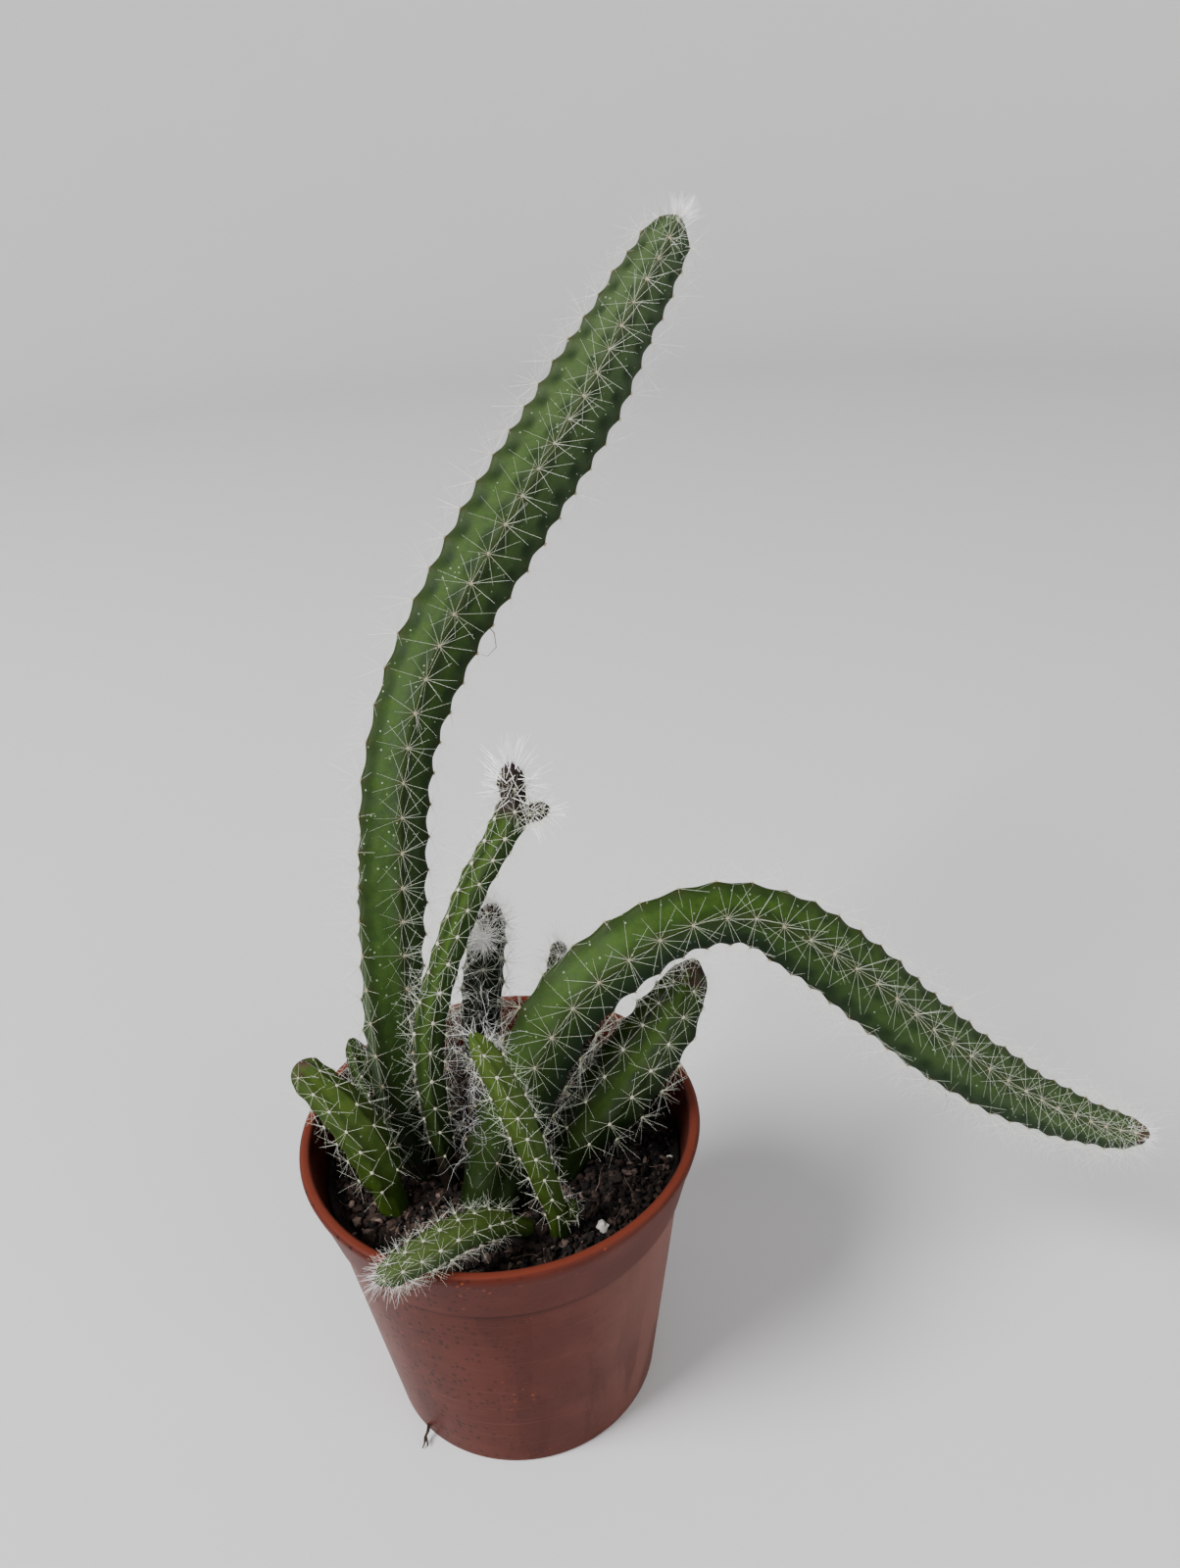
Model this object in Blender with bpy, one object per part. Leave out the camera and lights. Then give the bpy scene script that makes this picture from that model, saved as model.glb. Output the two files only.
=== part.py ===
"""A potted dog tail cactus: a plastic nursery pot of soil with ten ribbed, spiny stems.

Metres, +Z up. The origin is the centre of the pot's base, on the surface that it stands on,
and -Y is the front. Every stem is a sheet rolled round its own curved route, with ribs,
bumps where the spines sit, and slim spines drawn out from the tops of those bumps.
"""
import math
import random

import bmesh
import bpy
import numpy as np
from mathutils import Vector, noise
from mathutils.bvhtree import BVHTree

MM = 0.001
GAP = 0.3 * MM
WELD = 0.001 * MM

# The pot, a standard 10.5 cm nursery pot
POT_HEIGHT = 88 * MM
LIP_RADIUS = 52.5 * MM
LIP_WIDTH = 3 * MM
LIP_ROUND = 1 * MM
LIP_DEPTH = 3.5 * MM
LIP_UNDERCUT = 0.6 * MM
BAND_DEPTH = 19 * MM
BAND_TOP_RADIUS = 50.8 * MM
BAND_LOW_RADIUS = 47.6 * MM
BAND_STEP_HEIGHT = 0.5 * MM
BODY_TOP_RADIUS = 47.0 * MM
BASE_RADIUS = 37.5 * MM
BASE_BEVEL = 1 * MM
WALL = 1.1 * MM
FLOOR = 1.6 * MM
SHOULDER = POT_HEIGHT - BAND_DEPTH
POT_SIDES = 44
POT_SHARP_ANGLE = 30
DRAIN_COUNT = 6
DRAIN_RADIUS = 4 * MM
DRAIN_RING_RADIUS = 25 * MM
DRAIN_SIDES = 14

# The soil that fills it, lumpy in the middle and level at the pot's wall
SOIL_LEVEL = 76.5 * MM
SOIL_RELIEF = 1.3 * MM
SOIL_LUMP_SIZE = 9 * MM
SOIL_CRUMB_SIZE = 4 * MM
SOIL_CRUMB_SHARE = 0.5
SOIL_EDGE_SHARE = 0.2
SOIL_SIDES = 36
SOIL_RINGS = 7

# What every stem shares: a round plug in the soil, then ribs that rise out of it
PLUG_DEPTH = 15 * MM
COLLAR = 2.5 * MM
RIB_RISE = 8 * MM
HOLE_SIDES = 14
HOLE_REACH = 8 * MM
VALLEY = 0.74
DIP = 0.90
TIP_ROUNDING = 0.9
TIP_LEAST_WIDTH = 3 * MM
FRONT = (0.0, -1.0, 0.4)
CURVE_SAMPLES = 24
STEM_SHARP_ANGLE = 40

# What every spine shares
BUMP_SIZE = 0.45 * MM
BUMP_SHARE = 0.3
SPINE_CLEARANCE = 0.7 * MM
SPINE_LEAN = (40, 66)
SPINE_SWEEP = 70
SPINE_SIZES = (0.8, 1.1)
SPINE_TRIES = 7
SPINE_TRY_SHARE = 0.06
CROWN_LEAN_SHARE = 0.6
CROWN_SWEEP = (20, 70)
CROWN_RINGS = 2
LOWEST_SPINE_TIP = 2 * MM
TESTED_SHARES = (0.3, 0.45, 0.6, 0.75, 0.9, 1.0)
ROOT_SHARE = 0.12
SEARCH_REACH = 8 * MM
SPINE_SEED = 5

# Each route is a hand-chosen list of (x, y, z, width across the ribs) in millimetres. It starts
# where the stem leaves the soil and ends at the tip. The pitch is the distance from one bump to
# the next along a rib, at even steps from foot to tip. Turn and twist, in degrees, say which way
# the first rib faces, and how much further it is turned at the foot.
STEMS = {
    "stem_tall": {
        "ribs": 5, "pitch": (7.6, 9.4, 7.4), "spine": 7.0, "turn": 13, "twist": 55, "colour": "mature",
        "route": [(-23, -3, 79, 11.5), (-25.5, 1, 96, 12), (-25.5, 9, 119, 15.5), (-24, 24, 148, 18),
                  (-20, 41, 176, 18), (-9, 58, 199, 20), (11.5, 80, 225.5, 23), (31, 101, 248, 23),
                  (48.8, 119, 272, 18), (58.6, 129, 285, 14), (64.5, 135, 294, 9)],
    },
    "stem_slim": {
        "ribs": 6, "pitch": (8.6, 8, 5.6), "spine": 5.5, "turn": 10, "twist": 0, "colour": "mature",
        "route": [(-13.6, -10.8, 79, 5.6), (-14.2, -11.2, 95, 6.9), (-14.6, -11, 111, 8.2),
                  (-13.2, -9, 127, 8.8), (-7.5, -5, 144, 8.1), (0, -1, 160, 8), (6, 2, 169, 8),
                  (10, 3.6, 176, 7.2), (11, 5, 180.5, 5), (11.2, 5.8, 184.5, 6.4), (11.4, 6.4, 189, 5.6)],
    },
    "stem_back": {
        "ribs": 7, "pitch": (8, 7.2, 5.6), "spine": 5.5, "turn": 0, "twist": 0, "colour": "dark",
        "route": [(-7, 29, 79, 7), (-6.4, 30.5, 92, 10.4), (-4.6, 32.5, 106, 11), (-2.2, 35, 119, 9.6),
                  (0.8, 37, 131, 5.6)],
    },
    "stem_bud": {
        "ribs": 6, "pitch": (8, 7, 5.6), "spine": 5.0, "turn": 0, "twist": 0, "colour": "dark",
        "route": [(13, 35, 79, 5.6), (14.4, 34.6, 92, 7.6), (16.4, 34.2, 106, 8), (18, 34, 119, 5.6)],
    },
    "stem_arching": {
        "ribs": 5, "pitch": (9.4, 8.8, 7.5, 7.2, 4.6), "spine": 7.5, "turn": -1, "twist": 0,
        "colour": "mature",
        "route": [(-1.4, -16.6, 79, 18), (1.8, -13.2, 91, 18), (9, -8.4, 108.5, 18), (20.5, -3.6, 127, 18.4),
                  (34, 0, 138, 18), (50, 4, 144.1, 15.7), (66, 8, 142, 15.2), (81, 9, 132, 18.4),
                  (97, 9, 116.6, 19.6), (113, 7.6, 100, 19.2), (130, 6, 86, 17.4), (147, 4.4, 75, 14),
                  (163, 2.6, 68, 10.6), (175, 0, 66.6, 6.6)],
    },
    "stem_stout": {
        "ribs": 7, "pitch": (7.8, 7.4, 5), "spine": 6.0, "turn": 12, "twist": 0, "colour": "mature",
        "route": [(17, -7.4, 79, 11.6), (22.6, -5, 88, 15.4), (30, -3, 96, 18.4), (37.6, 0.4, 105, 18.8),
                  (44.6, 4, 113, 16.6), (50.4, 7.6, 121, 11.4), (53.8, 10, 127, 6.6)],
    },
    "stem_front": {
        "ribs": 5, "pitch": (7.8, 7.2, 5), "spine": 5.0, "turn": 14, "twist": 0, "colour": "young",
        "route": [(14.6, -30.4, 79, 4.8), (14.2, -31.2, 87, 5.3), (12.6, -32.4, 97, 6.1),
                  (10.4, -33, 108, 6.6), (7.6, -33, 119.6, 7.1), (3.4, -32, 132.6, 6.8),
                  (-0.6, -30, 140.6, 4.4)],
    },
    "stem_left": {
        "ribs": 6, "pitch": (7.6, 6.6, 5), "spine": 5.5, "turn": 0, "twist": 0, "colour": "mature",
        "route": [(-28, -17.4, 79, 9), (-29.4, -16.7, 87.4, 12), (-32.5, -15.5, 98.5, 13.4),
                  (-36.4, -14, 106.6, 13), (-41, -11.8, 112.4, 11.4), (-45.8, -9.6, 117.6, 9.6)],
    },
    "stem_left_small": {
        "ribs": 6, "pitch": (6.4, 6, 5), "spine": 4.0, "turn": 0, "twist": 0, "colour": "young",
        "route": [(-31.2, 3.8, 79, 6), (-32.8, 6.8, 86, 7), (-34.9, 9.6, 92.6, 7.4), (-37, 12.2, 99, 6.4),
                  (-39.2, 14.8, 105, 4.6)],
    },
    "stem_reclining": {
        "ribs": 7, "pitch": (6, 5.6, 5), "spine": 4.0, "turn": 0, "twist": 0, "colour": "young",
        "route": [(4.6, -30.2, 80, 5.6), (0.4, -34.6, 86.4, 7.6), (-4.2, -39.4, 90.6, 9.4),
                  (-9.4, -44.4, 93.2, 9.6), (-15, -49.2, 93.9, 9), (-20.6, -52.6, 93.6, 8.2),
                  (-25.6, -55, 92.6, 6)],
    },
}

# Side shoots, each joined to the stem that it grows from
SHOOTS = {
    "stem_slim": {
        "ribs": 6, "pitch": (3.4, 3.4), "spine": 3.6, "turn": 0, "twist": 0, "colour": "mature",
        "route": [(9.6, 3.4, 174.6, 3.6), (13.6, 3.2, 176.4, 5.2), (17, 3, 177.4, 5.2),
                  (19.8, 2.8, 177.8, 3.6)],
    },
    "stem_front": {
        "ribs": 5, "pitch": (4.4, 4.4), "spine": 3.6, "turn": 0, "twist": 0, "colour": "young",
        "route": [(14.7, -30.6, 80.2, 2.6), (16.6, -30.4, 82, 3.6), (18, -30.2, 85, 3.7),
                  (18.6, -30, 88, 2.6)],
    },
}

# Colour and roughness, from the photograph
FINISHES = {
    "pot": ((0.36, 0.085, 0.045), 0.45),
    "soil": ((0.030, 0.020, 0.015), 0.95),
    "mature": ((0.070, 0.150, 0.040), 0.55),
    "young": ((0.170, 0.270, 0.050), 0.55),
    "dark": ((0.060, 0.095, 0.050), 0.65),
}


def clear_scene():
    for thing in list(bpy.data.objects):
        bpy.data.objects.remove(thing, do_unlink=True)


def finish_material(name):
    colour, roughness = FINISHES[name]
    material = bpy.data.materials.new(name)
    material.use_nodes = True
    shader = material.node_tree.nodes["Principled BSDF"]
    shader.inputs["Base Color"].default_value = (*colour, 1.0)
    shader.inputs["Roughness"].default_value = roughness
    shader.inputs["Metallic"].default_value = 0.0
    return material


def add_object(name, bm, finish=None, sharp_angle=STEM_SHARP_ANGLE):
    """Put a bmesh in the scene as one named object, shaded smooth between its sharp edges."""
    mesh = bpy.data.meshes.new(name)
    bm.to_mesh(mesh)
    bm.free()
    mesh.shade_smooth()
    mesh.set_sharp_from_angle(angle=math.radians(sharp_angle))
    thing = bpy.data.objects.new(name, mesh)
    bpy.context.collection.objects.link(thing)
    if finish:
        mesh.materials.append(finish_material(finish))
    return thing


def cut(target, cutter):
    cutter.hide_render = True
    cutter.display_type = "WIRE"
    modifier = target.modifiers.new("cut", "BOOLEAN")
    modifier.operation = "DIFFERENCE"
    modifier.solver = "EXACT"
    modifier.object = cutter


def turned_solid(profile, sides):
    """Spin a profile of (radius, height) points, whose ends lie on the axis, into a solid."""
    bm = bmesh.new()
    verts = [bm.verts.new((radius, 0, height)) for radius, height in profile]
    for low, high in zip(verts, verts[1:]):
        bm.edges.new((low, high))
    bmesh.ops.spin(bm, geom=bm.verts[:] + bm.edges[:], axis=(0, 0, 1), cent=(0, 0, 0),
                   angle=2 * math.pi, steps=sides, use_merge=True)
    bmesh.ops.remove_doubles(bm, verts=bm.verts[:], dist=WELD)
    bmesh.ops.recalc_face_normals(bm, faces=bm.faces[:])
    return bm


def round_bars(bars, sides):
    """Separate capped cylinders, each from one point to another with its own radius."""
    bm = bmesh.new()
    for start, end, radius in bars:
        axis = end - start
        place = axis.to_track_quat("Z", "Y").to_matrix().to_4x4()
        place.translation = (start + end) / 2
        bmesh.ops.create_cone(bm, cap_ends=True, segments=sides, radius1=radius, radius2=radius,
                              depth=axis.length, matrix=place)
    return bm


def wall_inside(height):
    """The radius of the pot's inner wall at a height above the table."""
    if height <= SHOULDER:
        share = height / SHOULDER
        return BASE_RADIUS + share * (BODY_TOP_RADIUS - BASE_RADIUS) - WALL
    share = (height - SHOULDER) / BAND_DEPTH
    low = BODY_TOP_RADIUS - WALL
    return low + share * (LIP_RADIUS - LIP_WIDTH - low)


def make_pot():
    lip_low = POT_HEIGHT - LIP_DEPTH
    inner_lip = LIP_RADIUS - LIP_WIDTH
    profile = [
        (0, 0),
        (BASE_RADIUS - BASE_BEVEL, 0),
        (BASE_RADIUS, BASE_BEVEL),
        (BODY_TOP_RADIUS, SHOULDER),
        (BAND_LOW_RADIUS, SHOULDER + BAND_STEP_HEIGHT),
        (BAND_TOP_RADIUS, lip_low),
        (LIP_RADIUS, lip_low + LIP_UNDERCUT),
        (LIP_RADIUS, POT_HEIGHT - LIP_ROUND),
        (LIP_RADIUS - LIP_ROUND, POT_HEIGHT),
        (inner_lip + LIP_ROUND, POT_HEIGHT),
        (inner_lip, POT_HEIGHT - LIP_ROUND),
        (wall_inside(SHOULDER), SHOULDER),
        (wall_inside(FLOOR), FLOOR),
        (0, FLOOR),
    ]
    pot = add_object("pot", turned_solid(profile, POT_SIDES), "pot", sharp_angle=POT_SHARP_ANGLE)
    bars = []
    for index in range(DRAIN_COUNT):
        angle = 2 * math.pi * index / DRAIN_COUNT
        place = Vector((math.cos(angle), math.sin(angle), 0)) * DRAIN_RING_RADIUS
        below = place - Vector((0, 0, FLOOR))
        above = place + Vector((0, 0, 2 * FLOOR))
        bars.append((below, above, DRAIN_RADIUS))
    cut(pot, add_object("drain_cutter", round_bars(bars, DRAIN_SIDES)))
    return pot


def soil_height(x, y):
    """The height of the soil's lumpy top, level where it meets the pot."""
    edge = wall_inside(SOIL_LEVEL) - GAP
    fade = (edge - math.hypot(x, y)) / (edge * SOIL_EDGE_SHARE)
    fade = min(1.0, max(0.0, fade))
    lump = noise.noise(Vector((x, y, 0)) / SOIL_LUMP_SIZE)
    crumb = noise.noise(Vector((x, y, SOIL_LEVEL)) / SOIL_CRUMB_SIZE)
    return SOIL_LEVEL + fade * SOIL_RELIEF * (lump + SOIL_CRUMB_SHARE * crumb)


def make_soil(stems):
    floor_z = FLOOR + GAP
    profile = [(0, floor_z), (wall_inside(floor_z) - GAP, floor_z), (wall_inside(SHOULDER) - GAP, SHOULDER)]
    edge = wall_inside(SOIL_LEVEL) - GAP
    for ring in range(SOIL_RINGS, -1, -1):
        profile.append((edge * ring / SOIL_RINGS, SOIL_LEVEL))
    bm = turned_solid(profile, SOIL_SIDES)
    for vert in bm.verts:
        if vert.co.z > SOIL_LEVEL - WELD:
            vert.co.z = soil_height(vert.co.x, vert.co.y)
    bmesh.ops.triangulate(bm, faces=bm.faces[:])
    soil = add_object("soil", bm, "soil")
    bars = []
    for stem in stems:
        start = stem.plug_end - stem.lean * GAP
        end = stem.foot + stem.lean * HOLE_REACH
        radius = (stem.plug_radius + GAP) / math.cos(math.pi / HOLE_SIDES)
        bars.append((start, end, radius))
    cut(soil, add_object("stem_hole_cutter", round_bars(bars, HOLE_SIDES)))
    return soil


def ease(share):
    share = min(1.0, max(0.0, share))
    return share * share * (3 - 2 * share)


class Stem:
    """One stem's route, with a frame and a width at any distance along it."""

    def __init__(self, plan, planted=True):
        route = np.array([point[:3] for point in plan["route"]], float) * MM
        widths = np.array([point[3] for point in plan["route"]], float) * MM
        self.ribs = plan["ribs"]
        self.turn = math.radians(plan["turn"])
        self.twist = math.radians(plan["twist"])
        self.planted = planted
        self.foot = Vector(route[0])
        self.lean = Vector(route[1] - route[0]).normalized()
        self.collar_at = 0.0
        if planted:
            self.plug_end = self.foot - self.lean * PLUG_DEPTH
            self.plug_radius = widths[0] * self.crest_share() * (1 + VALLEY) / 2
            self.collar_at = PLUG_DEPTH + COLLAR
            route = np.vstack([np.array(self.plug_end), route])
            widths = np.concatenate([[widths[0]], widths])
        self.trace(route, widths)
        self.place_rings(np.array(plan["pitch"]) * MM / 2)

    def crest_share(self):
        """The crest's radius as a share of the width that a ribbed section shows."""
        return 0.5 if self.ribs % 2 == 0 else 1 / (1 + math.cos(math.pi / self.ribs))

    def trace(self, route, widths):
        """Draw a smooth curve through the route, with a frame carried along it untwisted."""
        padded = np.vstack([2 * route[0] - route[1], route, 2 * route[-1] - route[-2]])
        points, sizes = [], []
        for index in range(len(route) - 1):
            a, b, c, d = padded[index:index + 4]
            for t in np.arange(CURVE_SAMPLES) / CURVE_SAMPLES:
                curve = 2 * b + (c - a) * t + (2 * a - 5 * b + 4 * c - d) * t**2
                points.append(0.5 * (curve + (3 * b - a - 3 * c + d) * t**3))
                sizes.append(widths[index] + (widths[index + 1] - widths[index]) * ease(t))
        self.points = np.array(points + [route[-1]])
        self.sizes = np.array(sizes + [widths[-1]])
        runs = np.linalg.norm(np.diff(self.points, axis=0), axis=1)
        self.at = np.concatenate([[0], np.cumsum(runs)])
        self.length = float(self.at[-1])
        tangents = np.gradient(self.points, self.at, axis=0)
        self.tangents = tangents / np.linalg.norm(tangents, axis=1)[:, None]
        front = np.array(FRONT)
        carried = []
        for tangent in self.tangents:
            front = front - tangent * np.dot(front, tangent)
            front = front / np.linalg.norm(front)
            carried.append(front)
        self.fronts = np.array(carried)

    def place_rings(self, steps):
        """Two rings to a pitch, spaced as the pitch changes from foot to tip."""
        distances = [0.0]
        while distances[-1] < self.length:
            share = distances[-1] / self.length
            step = float(np.interp(share * (len(steps) - 1), range(len(steps)), steps))
            distances.append(distances[-1] + step)
        self.distances = np.array(distances) * self.length / distances[-1]
        self.rings = len(distances) - 1

    def read(self, values, distance):
        return Vector([np.interp(distance, self.at, values[:, axis]) for axis in range(3)])

    def centre(self, distance):
        return self.read(self.points, distance)

    def along(self, distance):
        return self.read(self.tangents, distance).normalized()

    def outward(self, distance, angle):
        """The direction straight out of the stem at an angle round it."""
        along = self.along(distance)
        front = self.read(self.fronts, distance)
        front = (front - along * front.dot(along)).normalized()
        side = along.cross(front)
        angle = angle + self.turn + self.twist * (1 - distance / self.length)**4
        return front * math.cos(angle) + side * math.sin(angle)

    def crest_radius(self, distance):
        """The radius at a rib's crest, rounded off to nothing at the tip."""
        radius = float(np.interp(distance, self.at, self.sizes)) * self.crest_share()
        end_zone = max(self.sizes[-1], TIP_LEAST_WIDTH) * TIP_ROUNDING
        left = (self.length - distance) / end_zone
        return radius if left >= 1 else radius * math.sqrt(max(0.0, 1 - (1 - left)**2))

    def has_bump(self, ring, rib):
        """Bumps sit on every other ring, and neighbouring ribs take turns."""
        if ring < 2 or ring >= self.rings or (ring + rib) % 2:
            return False
        return self.distances[ring - 1] > self.collar_at

    def skin_point(self, ring, side):
        """A point of the skin: crests at even sides, valleys at odd ones."""
        distance = self.distances[ring]
        side = side % (2 * self.ribs)
        radius = self.crest_radius(distance)
        if side % 2:
            radius *= VALLEY
        elif not self.has_bump(ring, side // 2):
            radius *= DIP
        if self.planted:
            rise = ease((distance - self.collar_at) / RIB_RISE)
            radius = self.plug_radius + (radius - self.plug_radius) * rise
        return self.centre(distance) + self.outward(distance, math.pi * side / self.ribs) * radius


def roll_stem(stem):
    """Roll a flat sheet into the stem's ribbed skin, and number the tops of its bumps."""
    bm = bmesh.new()
    bump = bm.verts.layers.int.new("bump")
    sides = 2 * stem.ribs
    bmesh.ops.create_grid(bm, x_segments=stem.rings, y_segments=sides, size=0.5)
    for vert in bm.verts:
        ring = round((vert.co.x + 0.5) * stem.rings)
        side = round((vert.co.y + 0.5) * sides) % sides
        if side % 2 == 0 and stem.has_bump(ring, side // 2):
            vert[bump] = 1 + ring * stem.ribs + side // 2
        vert.co = stem.skin_point(ring, side) if ring < stem.rings else Vector(stem.points[-1])
    bmesh.ops.remove_doubles(bm, verts=bm.verts[:], dist=WELD)
    bmesh.ops.holes_fill(bm, edges=[edge for edge in bm.edges if edge.is_boundary], sides=0)
    bmesh.ops.recalc_face_normals(bm, faces=bm.faces[:])
    return bm, bump


def skin_tree(bm):
    copy = bm.copy()
    bmesh.ops.triangulate(copy, faces=copy.faces[:])
    tree = BVHTree.FromBMesh(copy)
    copy.free()
    return tree


def object_tree(thing):
    bm = bmesh.new()
    bm.from_object(thing, bpy.context.evaluated_depsgraph_get())
    tree = skin_tree(bm)
    bm.free()
    return tree


def segment_gap(start, end, starts, ends):
    """The smallest distance between one segment and each of many others."""
    if len(starts) == 0:
        return math.inf
    way = end - start
    ways = ends - starts
    apart = start - starts
    own = way @ way
    theirs = np.einsum("ij,ij->i", ways, ways)
    shared = ways @ way
    own_reach = apart @ way
    their_reach = np.einsum("ij,ij->i", ways, apart)
    spread = np.maximum(own * theirs - shared * shared, np.finfo(float).tiny)
    s = np.clip((shared * their_reach - own_reach * theirs) / spread, 0, 1)
    t = np.clip((shared * s + their_reach) / theirs, 0, 1)
    s = np.clip((shared * t - own_reach) / own, 0, 1)
    gaps = apart + s[:, None] * way - t[:, None] * ways
    return float(np.linalg.norm(gaps, axis=1).min())


class SpineField:
    """All the spines so far, and the skins that a new one must keep clear of."""

    def __init__(self, skins):
        self.skins = skins
        self.starts = np.zeros((0, 3))
        self.ends = np.zeros((0, 3))

    def is_clear(self, owner, root, tip):
        if tip.z < LOWEST_SPINE_TIP:
            return False
        for point in (root.lerp(tip, share) for share in TESTED_SHARES):
            for name, tree in self.skins.items():
                near, normal, _, gap = tree.find_nearest(point, SEARCH_REACH)
                if near is None:
                    continue
                inside = name != owner and (point - near).dot(normal) < 0
                if inside or gap < SPINE_CLEARANCE:
                    return False
        start = np.array(root.lerp(tip, ROOT_SHARE))
        return segment_gap(start, np.array(tip), self.starts, self.ends) > SPINE_CLEARANCE

    def keep(self, root, tip):
        self.starts = np.vstack([self.starts, np.array(root)])
        self.ends = np.vstack([self.ends, np.array(tip)])


def find_spine(owner, root, axes, hand, length, crown, field, rng):
    """Try seeded directions until one spine is clear of everything else, or give none."""
    out, along, across = axes
    for attempt in range(SPINE_TRIES):
        lean = math.radians(rng.uniform(*SPINE_LEAN))
        sweep = math.radians(rng.uniform(-SPINE_SWEEP, SPINE_SWEEP))
        if crown:
            lean = lean * CROWN_LEAN_SHARE
            sweep = math.radians(rng.uniform(*CROWN_SWEEP))
        flat = across * math.cos(sweep) * hand + along * math.sin(sweep)
        reach = length * rng.uniform(*SPINE_SIZES) * (1 - SPINE_TRY_SHARE * attempt)
        tip = root + (out * math.cos(lean) + flat * math.sin(lean)) * reach
        if field.is_clear(owner, root, tip):
            return tip
    return None


def raise_spines(owner, bm, bump, stem, length, field, rng):
    """Flatten the top of each bump to a tiny lozenge and draw its two halves out to spines."""
    tops = sorted((vert for vert in bm.verts if vert[bump]), key=lambda vert: vert[bump])
    for vert in tops:
        ring, rib = divmod(vert[bump] - 1, stem.ribs)
        distance = stem.distances[ring]
        along = stem.along(distance)
        out = stem.outward(distance, 2 * math.pi * rib / stem.ribs)
        across = along.cross(out)
        size = min(BUMP_SIZE, BUMP_SHARE * stem.crest_radius(distance))
        made = bmesh.ops.bevel(bm, geom=[vert], offset=size, affect="VERTICES", segments=1,
                               profile=0.5, material=-1)
        lozenge = made["faces"][0]
        centre = lozenge.calc_center_median()
        corners = sorted(lozenge.verts, key=lambda corner: (corner.co - centre).dot(along))
        halved = bmesh.ops.connect_verts(bm, verts=[corners[0], corners[-1]])
        for face in [face for edge in halved["edges"] for face in edge.link_faces]:
            root = face.calc_center_median()
            hand = math.copysign(1, (root - centre).dot(across))
            crown = ring >= stem.rings - CROWN_RINGS
            tip = find_spine(owner, root, (out, along, across), hand, length, crown, field, rng)
            if tip:
                poked = bmesh.ops.poke(bm, faces=[face])
                poked["verts"][0].co = tip
                field.keep(root, tip)
    bmesh.ops.triangulate(bm, faces=bm.faces[:])


def join_shoot(stem_object, shoot_object):
    """Unite a side shoot with its stem, keep the joined mesh and remove the loose shoot."""
    modifier = stem_object.modifiers.new("join", "BOOLEAN")
    modifier.operation = "UNION"
    modifier.solver = "EXACT"
    modifier.object = shoot_object
    joined = stem_object.evaluated_get(bpy.context.evaluated_depsgraph_get())
    mesh = bpy.data.meshes.new_from_object(joined)
    stem_object.modifiers.clear()
    stem_object.data = mesh
    bpy.data.objects.remove(shoot_object, do_unlink=True)


def make_stem_object(name, plan, rolled, stem, field, rng):
    bm, bump = rolled
    raise_spines(name, bm, bump, stem, plan["spine"] * MM, field, rng)
    return add_object(name, bm, plan["colour"])


def main():
    clear_scene()
    plans = dict(STEMS)
    plans.update({name + "_shoot": plan for name, plan in SHOOTS.items()})
    stems = {name: Stem(plan, planted=name in STEMS) for name, plan in plans.items()}
    rolled = {name: roll_stem(stem) for name, stem in stems.items()}
    pot = make_pot()
    soil = make_soil([stems[name] for name in STEMS])
    skins = {name: skin_tree(bm) for name, (bm, _) in rolled.items()}
    skins["pot"] = object_tree(pot)
    skins["soil"] = object_tree(soil)
    field = SpineField(skins)
    rng = random.Random(SPINE_SEED)
    for name in STEMS:
        stem_object = make_stem_object(name, plans[name], rolled[name], stems[name], field, rng)
        shoot = name + "_shoot"
        if shoot in plans:
            join_shoot(stem_object, make_stem_object(shoot, plans[shoot], rolled[shoot], stems[shoot],
                                                     field, rng))


main()
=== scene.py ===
# %% [markdown]
# # A potted dog tail cactus
# Ten spiny stems grow out of one small nursery pot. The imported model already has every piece
# at its place and size, in metres, with +Z up and the origin under the middle of the pot.
# This lesson keeps those places and builds the looks: a smooth moulded pot, crumbly soil,
# ribbed skins, and thousands of fine pale spines.

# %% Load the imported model
import math
import random

import bmesh
import bpy
import numpy as np
from mathutils import Matrix, Vector, noise
from mathutils.bvhtree import BVHTree


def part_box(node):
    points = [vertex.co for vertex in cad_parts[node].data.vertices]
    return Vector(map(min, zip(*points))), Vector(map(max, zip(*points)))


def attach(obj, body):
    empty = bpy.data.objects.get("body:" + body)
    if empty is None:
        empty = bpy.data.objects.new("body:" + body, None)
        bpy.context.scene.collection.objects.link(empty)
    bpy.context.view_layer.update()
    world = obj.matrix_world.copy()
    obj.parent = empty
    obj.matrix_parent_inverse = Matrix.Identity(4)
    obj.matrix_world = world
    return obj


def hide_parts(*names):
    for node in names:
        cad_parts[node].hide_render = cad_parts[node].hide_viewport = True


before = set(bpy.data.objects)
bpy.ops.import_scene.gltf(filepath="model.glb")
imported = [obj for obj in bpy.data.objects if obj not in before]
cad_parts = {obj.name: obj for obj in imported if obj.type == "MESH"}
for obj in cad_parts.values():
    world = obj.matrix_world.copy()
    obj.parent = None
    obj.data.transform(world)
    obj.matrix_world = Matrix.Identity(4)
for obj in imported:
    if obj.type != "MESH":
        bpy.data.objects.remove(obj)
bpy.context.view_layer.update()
MM = 0.001
WELD = 0.001 * MM

# %% [markdown]
# ## Camera
# The picture was taken by hand from a little above the plant, so the camera looks down and is
# rolled by a few degrees. A camera in Blender looks along its own -Z, so we tip it up from
# looking straight down, and then roll it round its own axis.

# %% Camera
CAMERA_PLACE = Vector((29.3, -246.5, 314.0)) * MM
CAMERA_DIP = 27.6
CAMERA_ROLL = -3.7
FRAME_WIDTH = 36.0
FOCAL_LENGTH = 28.125
NEAREST_SEEN = 10 * MM


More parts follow.
